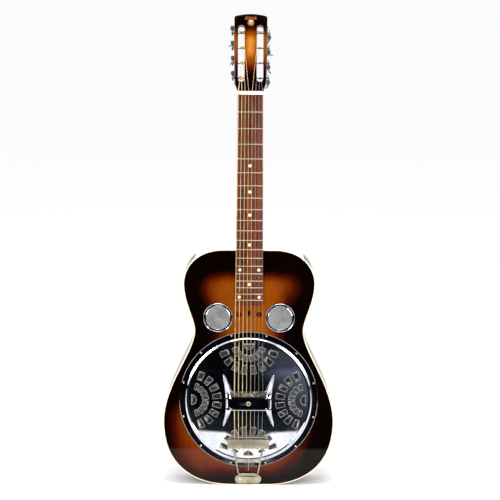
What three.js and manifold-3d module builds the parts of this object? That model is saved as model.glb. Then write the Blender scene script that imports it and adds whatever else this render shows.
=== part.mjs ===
// Eight-string resonator guitar: wood body, spider-bridge cone under a chromed coverplate, slotted head.
//
// Sizes are in millimetres. The parts are laid out in the bench frame, as the guitar lies on its back:
// x to the treble side, y from the tail to the head, z up out of the face, with z = 0 on the wood of the
// top. The last group stands the guitar on its tail, so that +Z runs up the neck and the face looks
// along -Y, with the origin on the tail, in the middle of the body's depth.
import * as THREE from "three";
import { mergeVertices } from "three/addons/utils/BufferGeometryUtils.js";
import Module from "manifold-3d";

const wasm = await Module();
wasm.setup();

// ---------------------------------------------------------------- driving dimensions
const GAP = 0.3; // left between parts that touch
const RUN = 0.3; // radial clearance of a turning part

const BODY = {
  length: 500,
  depth: 85,
  tailFlat: 76,
  shoulderFlat: 100,
  lowerBout: 356,
  waist: 226.6,
  upperBout: 272.8,
  lowerBoutAbove: 136, // above the tail
  waistBelow: 170, // below the shoulders
  upperBoutBelow: 72, // below the shoulders
  facets: 9, // straight steps in each curve of the outline
};
// How far each end's handle reaches along its curve of the outline, as a share of the curve's span.
const BEND = { tail: [0.58, 0.67], flank: [0.4, 0.225], waist: [0.235, 0.4], shoulder: [0.36, 0.8] };
const TOP = { thick: 4 };
const BACK = { thick: 4 };
const RIB = { thick: 3 };
const BINDING = { width: 2, height: 5.5 };
const LINING = { width: 8, height: 14 };
const TAIL_STRIP = { width: 8 };
const BLOCK = { width: 80, tail: 26, neck: 38 };
const BRACE = { width: 8, height: 12, below: 90 };
const STICK = { width: 24, thick: 22 };

const CONE = {
  above: 184, // centre above the tail, which is where the saddle stands
  radius: 133.4,
  wall: 1,
  rimWidth: 5,
  valleyRadius: 62,
  valleyDepth: 26,
  crownRadius: 12,
  crownDepth: 5,
  play: 2.6, // between the cone and the edge of the opening in the top
};
const WELL = {
  wall: 7,
  ledgeThick: 6,
  ledgeEdge: 1, // between the rim's inner edge and the ledge's, so the ledge is the narrower
  windows: 6,
  windowWidth: 60,
  windowHeight: 40,
  glueWidth: 8,
};
const COVER = {
  lap: 8, // beyond the edge of the opening in the top
  thick: 1.2,
  flange: 13,
  stepWidth: 5,
  stepHeight: 2.1,
  crown: 8,
  slotWidth: 76,
  slotLength: 40,
};
const FAN = {
  inside: 7, // fan centre inside the edge of the dome
  clear: 56, // plain metal from the middle of the plate to the nearest opening
  count: 8,
  pitch: 19.6, // degrees between openings
  // Each row's place and its openings' widths, and the eye's radius, as shares of the fan's radius.
  rows: [
    { inner: 0.365, outer: 0.571, innerWidth: 0.083, outerWidth: 0.127 },
    { inner: 0.714, outer: 1, innerWidth: 0.149, outerWidth: 0.19 },
  ],
  eye: 0.171,
};
const REST = {
  width: 96,
  length: 29,
  height: 37.5,
  thick: 1.5,
  corner: 8,
  legWidth: 11,
  legFoot: [52, 54],
  legTop: [37, 8],
  eyelet: 4.2,
};
const SPIDER = {
  legs: 8,
  legWidth: 6,
  legThick: 2.4,
  legDip: 3, // how far below the top of the hub a leg leaves it
  footLength: 4,
  hub: 16,
  hubHeight: 14,
  barLength: 72,
  barWidth: 9,
  barTop: 14,
  barRise: 5, // of the bar above the hub
};
const SADDLE = { length: 29.6, thick: 3.2, top: 23.4, bed: 9 };
const SCREW = { radius: 2.5, head: 3.1, headThick: 2.6, length: 24 };

const SCREEN = {
  across: 128.4, // between the two centres
  below: 142.3, // centres below the shoulders
  radius: 30.5,
  sleeve: 26.6,
  wall: 1.4,
  lip: 24.4,
  flat: 3.4, // width of the ring's sloping outer face
  height: 3.4,
  mesh: 0.6,
  meshAbove: 0.9,
};
const PORT = { radius: 5.5, spacing: 20.8, below: 135.5, lift: 2.5 };

const SCALE = 635; // saddle to nut
const BOARD = { thick: 7, nutWidth: 51.5, endWidth: 56.5, frets: 19, overhang: 11 };
const NUT = { thick: 6.5, rise: 9 };
const NECK = {
  depth: 31,
  heelLength: 46,
  heelShort: 13, // the heel stops short of the back
  heelFoot: 6, // thickness of the heel's tip
  heelBelly: 2, // how far the heel's curve starts below the back of the neck
};
const HEAD = {
  tilt: 14.5,
  beyondSlots: 22.5,
  arch: 4,
  thick: 20,
  baseWidth: 62.6,
  topWidth: 67.6,
  shoulder: 14,
  corner: 5,
  cornerFall: 0.8, // how far a corner's end lies above the corner's start
};
const SLOT = {
  middle: 19,
  width: 13.4,
  before: 9.5, // reach before the first roller
  after: 14.5, // reach after the last roller
};

const TUNER = { count: 4, first: 28, pitch: 31, axisDepth: 7 };
const ROLLER = { radius: 3.2, shaft: 2.4, intoWeb: 7 };
const GEAR = { radius: 6.2, thick: 3 };
const WORM = { radius: 2.8, length: 10.4, shaft: 1.5, mesh: 0.4 };
const STRIP = { beyond: 14.5, height: 17, thick: 1.2, lugThick: 1.2, lugRim: 1.8, lugWidth: 7 };
const BUTTON = {
  length: 20,
  height: 13,
  thick: 6.5,
  behind: 5,
  turn: 2.1, // radians between one button and the next, so no two stand alike
};

const STRINGS = {
  radii: [0.72, 0.6, 0.5, 0.42, 0.34, 0.24, 0.2, 0.16],
  wound: 5, // the heavier ones, on the bass side
  nutSpacing: 6.9,
  saddleSpacing: 8.5,
  tailSpacing: 8.1,
  rollerFirst: 21.5, // distance of the outermost string from the middle at its roller
  rollerStep: 2.1,
};

const TAIL = {
  plateWidth: 86,
  plateLength: 19,
  plateBottom: 84,
  sheet: 1.2,
  slack: 1.7, // between the strings and the parts above and below them
  wire: 1.65,
  legTop: 31,
  legBottom: 20,
  rodHalf: 40,
  rodAbove: 2.5, // rod above the plate's upper edge
  pinReach: 12,
  bend: 5, // rounding of the wire's corners
  cornerDrop: 8, // from the rod down to where the wire's sides reach their full width
  earFoot: 6, // from the plate's lower edge to the start of its ears
  stringStart: 8, // of the strings above the plate's lower edge
};
const BRACKET = {
  width: 55,
  length: 18.5,
  thick: 1.6,
  bottom: 3.8,
  webLap: 4, // of the knuckle's web on the plate
  knuckleLength: 30,
  knuckleWall: 1,
};

// ---------------------------------------------------------------- derived places
const underTop = -TOP.thick - GAP;
const overBack = -BODY.depth + BACK.thick + GAP;
const nutY = CONE.above + SCALE;
const boardTop = GAP + BOARD.thick;
const lastFret = nutY - SCALE * (1 - 2 ** (-BOARD.frets / 12));
const boardEnd = lastFret - BOARD.overhang;
const holeRadius = CONE.radius + CONE.play; // opening in the top over the cone
const wellRadius = holeRadius + WELL.glueWidth;
const coverRadius = holeRadius + COVER.lap;
const domeRadius = coverRadius - COVER.flange - COVER.stepWidth;
const fanReach = domeRadius - FAN.inside; // fan centre from the middle of the plate
const fanRadius = fanReach - FAN.clear;
const slotStart = TUNER.first - SLOT.before;
const slotEnd = tunerAt(TUNER.count - 1) + SLOT.after;
const headLength = slotEnd + HEAD.beyondSlots;
const stripLength = (TUNER.count - 1) * TUNER.pitch + 2 * STRIP.beyond;
const heelDepth = BODY.depth - NECK.heelShort;
const stickTop = STICK.thick / 2 - BODY.depth / 2;
const ledgeZ = underTop;
const coneZ = ledgeZ + GAP; // underside of the cone's rim
const tiltAngle = THREE.MathUtils.degToRad(HEAD.tilt);
const headY = nutY + NUT.thick + GAP; // where the face of the head starts
const rodY = TAIL.plateBottom + TAIL.plateLength + TAIL.rodAbove;
const rodZ = domeZ(CONE.above - rodY) + TAIL.slack + TAIL.wire;
const wireZ = rodZ + TAIL.wire + TAIL.slack; // underside of the strings at the tailpiece
const plateZ = wireZ + 2 * STRINGS.radii[0] + TAIL.slack;
const knuckleRadius = TAIL.wire + RUN + BRACKET.knuckleWall;
const knuckleY = BRACKET.bottom + BRACKET.length + knuckleRadius / 2;
const knuckleZ = GAP + knuckleRadius;

/** A tuner's distance from the start of the head. */
function tunerAt(index) {
  return TUNER.first + index * TUNER.pitch;
}

/** Height of the coverplate's outer face at a distance from its middle, inside the step. */
function domeZ(radius) {
  return GAP + COVER.thick + COVER.stepHeight + COVER.crown * (1 - (radius / domeRadius) ** 2);
}

const MATERIALS = {
  sunburst: new THREE.MeshStandardMaterial({ color: 0x6b2f0c, roughness: 0.22 }),
  innerWood: new THREE.MeshStandardMaterial({ color: 0xb08a5a, roughness: 0.8 }),
  binding: new THREE.MeshStandardMaterial({ color: 0xe6dcba, roughness: 0.4 }),
  chrome: new THREE.MeshStandardMaterial({ color: 0xd8dade, roughness: 0.06, metalness: 1 }),
  aluminium: new THREE.MeshStandardMaterial({ color: 0xb7b2a6, roughness: 0.35, metalness: 1 }),
  mesh: new THREE.MeshStandardMaterial({ color: 0xa5a8a5, roughness: 0.5, metalness: 0.8 }),
  rosewood: new THREE.MeshStandardMaterial({ color: 0x7a3a22, roughness: 0.5 }),
  nut: new THREE.MeshStandardMaterial({ color: 0xf2efe6, roughness: 0.35 }),
  maple: new THREE.MeshStandardMaterial({ color: 0xcfa56b, roughness: 0.55 }),
  nickel: new THREE.MeshStandardMaterial({ color: 0xb4aa91, roughness: 0.38, metalness: 1 }),
  steel: new THREE.MeshStandardMaterial({ color: 0x9a9a98, roughness: 0.3, metalness: 1 }),
  bronze: new THREE.MeshStandardMaterial({ color: 0xc8aa7d, roughness: 0.35, metalness: 1 }),
};

// ---------------------------------------------------------------- solids
/** The closed solid of a three.js geometry, with its shared vertices merged. */
function solid(geometry) {
  const bare = geometry.index ? geometry.toNonIndexed() : geometry.clone();
  bare.deleteAttribute("normal");
  bare.deleteAttribute("uv");
  const merged = mergeVertices(bare, 1e-4);
  return new wasm.Manifold(
    new wasm.Mesh({
      numProp: 3,
      vertProperties: merged.attributes.position.array,
      triVerts: new Uint32Array(merged.index.array),
    }),
  );
}

/** The geometry of a solid, ready for a mesh. */
function geometryOf(made) {
  const mesh = made.getMesh();
  const places = new Float32Array(mesh.numVert * 3);
  for (let i = 0; i < mesh.numVert; i++) {
    places.set(mesh.vertProperties.subarray(i * mesh.numProp, i * mesh.numProp + 3), i * 3);
  }
  const geometry = new THREE.BufferGeometry();
  geometry.setAttribute("position", new THREE.BufferAttribute(places, 3));
  geometry.setIndex(new THREE.BufferAttribute(new Uint32Array(mesh.triVerts), 1));
  geometry.computeVertexNormals();
  return geometry;
}

/** A named part, from a geometry or from a solid. */
function part(name, shape, material) {
  const geometry = shape.isBufferGeometry ? shape : geometryOf(shape);
  const mesh = new THREE.Mesh(geometry, material);
  mesh.name = name;
  return mesh;
}

/** A flat shape given thickness from z = low to z = high. */
function slab(shape, low, high, curveSegments = 8) {
  const depth = high - low;
  const geometry = new THREE.ExtrudeGeometry(shape, { depth, bevelEnabled: false, curveSegments });
  return geometry.translate(0, 0, low);
}

/** A box between two corners. */
function box(low, high) {
  const size = high.map((value, i) => value - low[i]);
  const middle = high.map((value, i) => (value + low[i]) / 2);
  return new THREE.BoxGeometry(...size).translate(...middle);
}

/** A solid of revolution about z. The profile's [radius, z] points go round it in either direction. */
function turned(profile, segments) {
  const points = profile.map(([radius, z]) => new THREE.Vector2(radius, z));
  if (profile[0][0] > 0) points.push(points[0].clone());
  if (THREE.ShapeUtils.area(points) < 0) points.reverse();
  return new THREE.LatheGeometry(points, segments).rotateX(Math.PI / 2);
}

/** A round bar along z. */
function bar(radius, low, high, segments = 12) {
  const cylinder = new THREE.CylinderGeometry(radius, radius, high - low, segments);
  return cylinder.rotateX(Math.PI / 2).translate(0, 0, (low + high) / 2);
}

/** A closed flat shape through [x, y] points. */
const polygon = (points) => new THREE.Shape(points.map(([x, y]) => new THREE.Vector2(x, y)));

/** A circle as a hole or a shape. */
const disc = (kind, x, y, radius) => new kind().absarc(x, y, radius, 0, 2 * Math.PI, false);

/** A bar with round ends along y, as a hole or a shape. */
function oblong(kind, x, low, high, width) {
  const radius = width / 2;
  return new kind()
    .absarc(x, high - radius, radius, 0, Math.PI, false)
    .absarc(x, low + radius, radius, Math.PI, 2 * Math.PI, false);
}

/** Points with every inner corner rounded by a short curve. */
function rounded(points, radius, steps = 4) {
  const out = [points[0]];
  for (let i = 1; i < points.length - 1; i++) {
    const corner = points[i];
    const before = points[i - 1].clone().sub(corner);
    const after = points[i + 1].clone().sub(corner);
    const reach = Math.min(radius, before.length() / 2, after.length() / 2);
    const arc = new THREE.QuadraticBezierCurve3(
      corner.clone().addScaledVector(before.normalize(), reach),
      corner,
      corner.clone().addScaledVector(after.normalize(), reach),
    );
    out.push(...arc.getPoints(steps));
  }
  out.push(points[points.length - 1]);
  return out;
}

/** A route through given points that keeps a section's width along one direction. */
class Route extends THREE.Curve {
  constructor(points, across = new THREE.Vector3(1, 0, 0)) {
    super();
    this.points = points;
    this.across = across;
  }

  getPoint(t) {
    return this.points[Math.round(t * (this.points.length - 1))].clone();
  }

  getPointAt(t) {
    return this.getPoint(t);
  }

  computeFrenetFrames() {
    const last = this.points.length - 1;
    const frames = { tangents: [], normals: [], binormals: [] };
    this.points.forEach((point, i) => {
      const ahead = this.points[Math.min(i + 1, last)].clone().sub(point).normalize();
      const behind = point.clone().sub(this.points[Math.max(i - 1, 0)]).normalize();
      const tangent = ahead.add(behind).normalize();
      const normal = this.across.clone().addScaledVector(tangent, -this.across.dot(tangent)).normalize();
      frames.tangents.push(tangent);
      frames.normals.push(normal);
      frames.binormals.push(tangent.clone().cross(normal));
    });
    return frames;
  }
}

/** A flat shape swept along a route. */
function swept(section, points, across, curveSegments = 2) {
  return new THREE.ExtrudeGeometry(section, {
    extrudePath: new Route(points, across),
    steps: points.length - 1,
    curveSegments,
  });
}

/** A round wire along a route. */
const wire = (radius, points, across, sides = 8) =>
  swept(disc(THREE.Shape, 0, 0, radius), points, across, sides / 2);

// ---------------------------------------------------------------- body outline
/** The curves of the outline's treble side, from the tail to the shoulders. */
function sideCurves() {
  const tail = new THREE.Vector2(BODY.tailFlat / 2, 0);
  const lower = new THREE.Vector2(BODY.lowerBout / 2, BODY.lowerBoutAbove);
  const waist = new THREE.Vector2(BODY.waist / 2, BODY.length - BODY.waistBelow);
  const upper = new THREE.Vector2(BODY.upperBout / 2, BODY.length - BODY.upperBoutBelow);
  const shoulder = new THREE.Vector2(BODY.shoulderFlat / 2, BODY.length);
  const across = new THREE.Vector2(1, 0);
  const along = new THREE.Vector2(0, 1);
  const curve = (from, to, leave, arrive, [first, second]) => {
    const span = to.clone().sub(from);
    const handleA = from.clone().add(span.clone().multiply(leave).multiplyScalar(first));
    const handleB = to.clone().sub(span.clone().multiply(arrive).multiplyScalar(second));
    return new THREE.CubicBezierCurve(from, handleA, handleB, to);
  };
  return [
    curve(tail, lower, across, along, BEND.tail),
    curve(lower, waist, along, along, BEND.flank),
    curve(waist, upper, along, along, BEND.waist),
    curve(upper, shoulder, along, across, BEND.shoulder),
  ];
}

/** The outline's treble side, moved inwards, as [x, y] points from the tail to the shoulders. */
function sideOutline(inset) {
  const points = [];
  sideCurves().forEach((curve, index) => {
    for (let i = index ? 1 : 0; i <= BODY.facets; i++) {
      const at = curve.getPoint(i / BODY.facets);
      const way = curve.getTangent(i / BODY.facets);
      points.push([at.x - way.y * inset, at.y + way.x * inset]);
    }
  });
  return points;
}

const mirrored = (points) => points.map(([x, y]) => [-x, y]).reverse();

/** The whole outline, moved inwards. */
const bodyOutline = (inset) => [...sideOutline(inset), ...mirrored(sideOutline(inset))];

/** Half the inside width of the body between its linings, at a height above the tail. */
function insideHalfWidth(y) {
  const wall = sideOutline(RIB.thick + 2 * GAP + LINING.width);
  const next = wall.findIndex((point) => point[1] > y);
  const [[x0, y0], [x1, y1]] = [wall[next - 1], wall[next]];
  return x0 + ((x1 - x0) * (y - y0)) / (y1 - y0);
}

/** A ring that follows the outline, between two insets. */
function outlineRing(outer, inner, low, high) {
  const shape = polygon(bodyOutline(outer));
  shape.holes.push(new THREE.Path(bodyOutline(inner).map(([x, y]) => new THREE.Vector2(x, y))));
  return slab(shape, low, high);
}

// ---------------------------------------------------------------- body
const screenY = BODY.length - SCREEN.below;
const portY = BODY.length - PORT.below;

function topPlate() {
  const shape = polygon(bodyOutline(BINDING.width + GAP));
  shape.holes.push(disc(THREE.Path, 0, CONE.above, holeRadius));
  const plate = solid(slab(shape, -TOP.thick, 0, 24));
  const holes = [-1, 1].map((side) => [(side * SCREEN.across) / 2, screenY, SCREEN.sleeve + GAP, 24]);
  for (const side of [-1, 0, 1]) {
    holes.push([side * PORT.spacing, portY + (side ? 0 : PORT.lift), PORT.radius, 12]);
  }
  return holes.reduce((rest, [x, y, radius, segments]) => {
    const drill = bar(radius, -TOP.thick - 1, 1, segments).translate(x, y, 0);
    return rest.subtract(solid(drill));
  }, plate);
}

/** One bent side of the body; side is 1 on the treble side and -1 on the bass side. */
function rib(side) {
  const start = TAIL_STRIP.width / 2 + GAP;
  const outer = [[start, 0], ...sideOutline(0), [GAP / 2, BODY.length]];
  const inner = [[start, RIB.thick], ...sideOutline(RIB.thick), [GAP / 2, BODY.length - RIB.thick]];
  const points = [...outer, ...inner.reverse()];
  const low = -BODY.depth + BINDING.height + GAP;
  return slab(polygon(side > 0 ? points : mirrored(points)), low, -BINDING.height - GAP);
}

const liningInset = RIB.thick + GAP;
const blockHigh = underTop - LINING.height - GAP;
const blockLow = overBack + LINING.height + GAP;

function bodyParts() {
  const group = new THREE.Group();
  const wood = MATERIALS.sunburst;
  const inner = MATERIALS.innerWood;
  const sideLow = -BODY.depth + BINDING.height + GAP;
  const blockNear = BODY.length - RIB.thick - GAP;
  const braceY = BODY.length - BRACE.below;
  const braceHalf = insideHalfWidth(braceY) - 2 * BRACE.width;
  const strip = TAIL_STRIP.width / 2;
  const back = -BODY.depth;
  const backSheet = slab(polygon(bodyOutline(BINDING.width + GAP)), back, back + BACK.thick);
  const block = (from, to) => box([-BLOCK.width / 2, from, blockLow], [BLOCK.width / 2, to, blockHigh]);
  const binding = (low) => outlineRing(0, BINDING.width, low, low + BINDING.height);
  const lining = (low) => outlineRing(liningInset, liningInset + LINING.width, low, low + LINING.height);
  group.add(
    part("top_plate", topPlate(), wood),
    part("back_plate", backSheet, wood),
    part("rib_bass", rib(-1), wood),
    part("rib_treble", rib(1), wood),
    part("tail_strip", box([-strip, 0, sideLow], [strip, RIB.thick, -BINDING.height - GAP]), wood),
    part("front_binding", binding(-BINDING.height), MATERIALS.binding),
    part("back_binding", binding(back), MATERIALS.binding),
    part("front_lining", lining(underTop - LINING.height), inner),
    part("back_lining", lining(overBack), inner),
    part("neck_block", block(blockNear - BLOCK.neck, blockNear), inner),
    part("tail_block", block(liningInset, liningInset + BLOCK.tail), inner),
    part(
      "neck_stick",
      box(
        [-STICK.width / 2, CONE.above + wellRadius + GAP, stickTop - STICK.thick],
        [STICK.width / 2, blockNear - BLOCK.neck - GAP, stickTop],
      ),
      inner,
    ),
    part(
      "top_brace",
      box([-braceHalf, braceY - BRACE.width, underTop - BRACE.height], [braceHalf, braceY, underTop]),
      inner,
    ),
    part(
      "back_brace",
      box([-braceHalf, braceY - BRACE.width, overBack], [braceHalf, braceY, overBack + BRACE.height]),
      inner,
    ),
  );
  return group;
}

/** The two chromed screens in the upper bout. */
function screenParts() {
  const group = new THREE.Group();
  const meshRadius = SCREEN.sleeve - SCREEN.wall;
  const low = SCREEN.meshAbove;
  const ring = [
    [meshRadius + GAP, -TOP.thick],
    [SCREEN.sleeve, -TOP.thick],
    [SCREEN.sleeve, GAP],
    [SCREEN.radius, GAP],
    [SCREEN.radius, GAP + 0.8],
    [SCREEN.radius - SCREEN.wall, SCREEN.height - 0.6],
    [SCREEN.radius - SCREEN.flat, SCREEN.height],
    [SCREEN.lip + 0.6, SCREEN.height - 0.5],
    [SCREEN.lip, low + SCREEN.mesh + GAP],
    [meshRadius + GAP, low + SCREEN.mesh + GAP],
  ];
  for (const [side, name] of [[-1, "bass"], [1, "treble"]]) {
    const screen = new THREE.Group();
    screen.position.set((side * SCREEN.across) / 2, screenY, 0);
    screen.add(part("screen_ring_" + name, turned(ring, 24), MATERIALS.chrome));
    screen.add(part("screen_mesh_" + name, bar(meshRadius, low, low + SCREEN.mesh, 24), MATERIALS.mesh));
    group.add(screen);
  }
  return group;
}

// ---------------------------------------------------------------- resonator
function soundwell() {
  const outer = wellRadius;
  const inner = outer - WELL.wall;
  const ledge = CONE.radius - CONE.rimWidth + WELL.ledgeEdge;
  const tube = solid(
    turned(
      [
        [ledge, ledgeZ],
        [outer, ledgeZ],
        [outer, overBack],
        [inner, overBack],
        [inner, ledgeZ - WELL.ledgeThick],
        [ledge, ledgeZ - WELL.ledgeThick],
      ],
      40,
    ),
  );
  const middle = (ledgeZ - WELL.ledgeThick + overBack) / 2;
  const window = new THREE.BoxGeometry(4 * WELL.wall, WELL.windowWidth, WELL.windowHeight);
  window.translate(outer - WELL.wall / 2, 0, middle);
  let well = tube;
  for (let i = 0; i < WELL.windows; i++) {
    const angle = ((i + 0.5) * 2 * Math.PI) / WELL.windows;
    well = well.subtract(solid(window.clone().rotateZ(angle)));
  }
  return well;
}

function resonatorCone() {
  const rim = CONE.radius - CONE.rimWidth;
  const bore = SCREW.radius + RUN;
  const upper = [
    [bore, -CONE.crownDepth],
    [CONE.crownRadius, -CONE.crownDepth],
    [CONE.valleyRadius, -CONE.valleyDepth],
    [rim, 0],
    [CONE.radius, 0],
  ];
  const sheet = upper.map(([radius, z]) => [radius, coneZ + CONE.wall + z]);
  const under = upper.map(([radius, z]) => [radius, coneZ + z]).reverse();
  return turned([...sheet, ...under], 40);
}

/** The cast bridge: eight legs that stand on the cone's rim, a hub and a slotted bar for the saddles. */
function spiderBridge() {
  const footZ = coneZ + CONE.wall + GAP;
  const footReach = CONE.radius - CONE.rimWidth / 2;
  const hubTop = SPIDER.barTop - SPIDER.barRise;
  const inner = new THREE.Vector3(SPIDER.hub / 2, 0, hubTop - SPIDER.legThick / 2 - SPIDER.legDip);
  const outer = new THREE.Vector3(footReach, 0, footZ + SPIDER.legThick / 2);
  const section = polygon([
    [-SPIDER.legWidth / 2, -SPIDER.legThick / 2],
    [SPIDER.legWidth / 2, -SPIDER.legThick / 2],
    [SPIDER.legWidth / 2, SPIDER.legThick / 2],
    [-SPIDER.legWidth / 2, SPIDER.legThick / 2],
  ]);
  const foot = new THREE.BoxGeometry(SPIDER.footLength, SPIDER.legWidth, SPIDER.legThick);
  foot.translate(footReach - 0.5, 0, footZ + SPIDER.legThick / 2);
  const leg = swept(section, [inner, outer], new THREE.Vector3(0, 1, 0));
  let spider = solid(bar(SPIDER.hub, hubTop - SPIDER.hubHeight, hubTop, 16));
  const half = SPIDER.barWidth / 2;
  const long = SPIDER.barLength;
  const bridge = box([-long / 2, -half, hubTop - SPIDER.legWidth], [long / 2, half, SPIDER.barTop]);
  spider = spider.add(solid(bridge));
  for (let i = 0; i < SPIDER.legs; i++) {
    const angle = ((i + 0.5) * 2 * Math.PI) / SPIDER.legs;
    spider = spider.add(solid(leg.clone().rotateZ(angle))).add(solid(foot.clone().rotateZ(angle)));
  }
  const slotHalf = SADDLE.thick / 2 + GAP;
  const slot = box([-long, -slotHalf, SADDLE.bed], [long, slotHalf, SPIDER.barTop + 1]);
  const bore = bar(SCREW.radius + RUN, hubTop - SPIDER.hubHeight - 1, SPIDER.barTop + 1);
  const sink = bar(SCREW.head + RUN, SADDLE.bed - GAP, SPIDER.barTop + 1);
  return spider.subtract(solid(slot)).subtract(solid(bore)).subtract(solid(sink));
}

/** The flat outline of one fan opening, about the fan's centre and towards the middle of the plate. */
function fanOpening(row, angle) {
  const corners = [
    [row.inner, -row.innerWidth / 2],
    [row.outer, -row.outerWidth / 2],
    [row.outer, row.outerWidth / 2],
    [row.inner, row.innerWidth / 2],
  ].map(([r, w]) => [r * fanRadius, w * fanRadius]);
  const turn = THREE.MathUtils.degToRad(angle);
  return corners.map(([r, w]) => [
    fanReach - r * Math.cos(turn) + w * Math.sin(turn),
    r * Math.sin(turn) + w * Math.cos(turn),
  ]);
}

function coverplate() {
  const rings = 4;
  const dome = [];
  for (let i = 0; i <= rings; i++) {
    const radius = domeRadius * Math.sqrt(1 - i / rings);
    dome.push([radius, domeZ(radius)]);
  }
  const foot = domeRadius + COVER.stepWidth;
  const outer = [[coverRadius, GAP + COVER.thick], [foot, GAP + COVER.thick], ...dome];
  const underDome = dome.map(([radius, z]) => [radius, z - COVER.thick]);
  const inner = [[coverRadius, GAP], [foot - COVER.thick, GAP], ...underDome];
  let plate = solid(turned([...inner.reverse(), ...outer], 40));
  const high = domeZ(0) + 1;
  const eyeRadius = FAN.eye * fanRadius;
  const eye = new THREE.Shape().absarc(fanReach, 0, eyeRadius, Math.PI / 2, (3 * Math.PI) / 2, false);
  for (let side = 0; side < 4; side++) {
    const cuts = [slab(eye, -1, high, 6)];
    for (const row of FAN.rows) {
      for (let i = 0; i < FAN.count; i++) {
        cuts.push(slab(polygon(fanOpening(row, (i - (FAN.count - 1) / 2) * FAN.pitch)), -1, high));
      }
    }
    cuts.forEach((cut) => {
      plate = plate.subtract(solid(cut.rotateZ((side * Math.PI) / 2)));
    });
  }
  const [slotX, slotY] = [COVER.slotWidth / 2, COVER.slotLength / 2];
  return plate.subtract(solid(box([-slotX, -slotY, -1], [slotX, slotY, high])));
}

/** The strap over the saddles, with four splayed legs that stand on the dome. */
function handRest() {
  const half = REST.width / 2 - REST.corner;
  const middle = REST.height - REST.thick / 2;
  const drop = REST.corner;
  const arch = rounded(
    [
      new THREE.Vector3(-REST.width / 2, 0, middle - drop),
      new THREE.Vector3(-REST.width / 2, 0, middle),
      new THREE.Vector3(-half, 0, middle),
      new THREE.Vector3(half, 0, middle),
      new THREE.Vector3(REST.width / 2, 0, middle),
      new THREE.Vector3(REST.width / 2, 0, middle - drop),
    ],
    REST.corner,
  );
  const across = new THREE.Vector3(0, 1, 0);
  const section = (width) =>
    polygon([
      [-width / 2, -REST.thick / 2],
      [width / 2, -REST.thick / 2],
      [width / 2, REST.thick / 2],
      [-width / 2, REST.thick / 2],
    ]);
  let rest = solid(swept(section(REST.length), arch, across));
  const [footX, footY] = REST.legFoot;
  const [topX, topY] = REST.legTop;
  const footZ = domeZ(Math.hypot(footX, footY)) + GAP + REST.thick;
  for (const sideX of [-1, 1]) {
    for (const sideY of [-1, 1]) {
      const leg = new THREE.CubicBezierCurve3(
        new THREE.Vector3(sideX * topX, sideY * topY, middle - REST.thick / 3),
        new THREE.Vector3(sideX * (topX + 5), sideY * REST.length, middle),
        new THREE.Vector3(sideX * footX, sideY * REST.length, footZ + 2),
        new THREE.Vector3(sideX * footX, sideY * footY, footZ),
      );
      rest = rest.add(solid(swept(section(REST.legWidth), leg.getPoints(7), new THREE.Vector3(1, 0, 0))));
    }
  }
  return rest.subtract(solid(bar(REST.eyelet, middle - REST.thick, middle + REST.thick)));
}

function resonatorParts() {
  const group = new THREE.Group();
  group.position.set(0, CONE.above, 0);
  const start = SCREW.head + GAP;
  const halfThick = SADDLE.thick / 2;
  const bed = SADDLE.bed + GAP;
  const saddle = (low, high) => box([low, -halfThick, bed], [high, halfThick, SADDLE.top]);
  const screw = [
    [0, bed - SCREW.length],
    [SCREW.radius, bed - SCREW.length],
    [SCREW.radius, bed],
    [SCREW.head, bed],
    [SCREW.head, bed + SCREW.headThick],
    [0, bed + SCREW.headThick],
  ];
  group.add(
    part("soundwell", soundwell(), MATERIALS.innerWood),
    part("resonator_cone", resonatorCone(), MATERIALS.aluminium),
    part("spider_bridge", spiderBridge(), MATERIALS.aluminium),
    part("saddle_bass", saddle(-start - SADDLE.length, -start), MATERIALS.maple),
    part("saddle_treble", saddle(start, start + SADDLE.length), MATERIALS.maple),
    part("tension_screw", turned(screw, 12), MATERIALS.steel),
    part("coverplate", coverplate(), MATERIALS.chrome),
    part("hand_rest", handRest(), MATERIALS.chrome),
  );
  return group;
}

// ---------------------------------------------------------------- neck and head
/** Width of the fingerboard and of the neck under it. */
const boardWidth = (y) =>
  BOARD.nutWidth + ((BOARD.endWidth - BOARD.nutWidth) * (nutY - y)) / (nutY - boardEnd);

const headFlare = (HEAD.topWidth - HEAD.baseWidth) / 2 / (headLength - HEAD.shoulder);
const sideSlope = Math.atan(headFlare);

/** Half the width of the head at a distance from the nut, above its shoulders. */
const headHalf = (s) => HEAD.baseWidth / 2 + headFlare * (s - HEAD.shoulder);

function headstock() {
  const nutHalf = BOARD.nutWidth / 2;
  const topHalf = headHalf(headLength - HEAD.arch);
  const cornerY = headLength - HEAD.arch;
  const archX = topHalf - HEAD.corner;
  const archY = cornerY + HEAD.cornerFall;
  const shape = new THREE.Shape();
  shape.moveTo(-nutHalf, 0);
  shape.lineTo(nutHalf, 0);
  shape.lineTo(headHalf(HEAD.shoulder), HEAD.shoulder);
  shape.lineTo(topHalf, cornerY - HEAD.corner);
  shape.quadraticCurveTo(topHalf, cornerY, archX, archY);
  shape.quadraticCurveTo(0, headLength + HEAD.arch, -archX, archY);
  shape.quadraticCurveTo(-topHalf, cornerY, -topHalf, cornerY - HEAD.corner);
  shape.lineTo(-headHalf(HEAD.shoulder), HEAD.shoulder);
  for (const side of [-1, 1]) {
    shape.holes.push(oblong(THREE.Path, side * SLOT.middle, slotStart, slotEnd, SLOT.width));
  }
  return solid(slab(shape, -HEAD.thick, 0, 8));
}

/** The bore of each roller's shaft through a cheek of the head and into its middle web. */
function rollerBores(side) {
  const radius = ROLLER.shaft + RUN;
  const inner = SLOT.middle - SLOT.width / 2 - ROLLER.intoWeb - GAP;
  return Array.from({ length: TUNER.count }, (_, i) => {
    const bore = bar(radius, 0, HEAD.topWidth, 10).rotateY((side * Math.PI) / 2);
    const reach = headHalf(tunerAt(i));
    bore.translate(-side * (reach - inner), 0, 0);
    bore.rotateZ(-side * sideSlope);
    return bore.translate(side * reach, tunerAt(i), -TUNER.axisDepth);
  });
}

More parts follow.
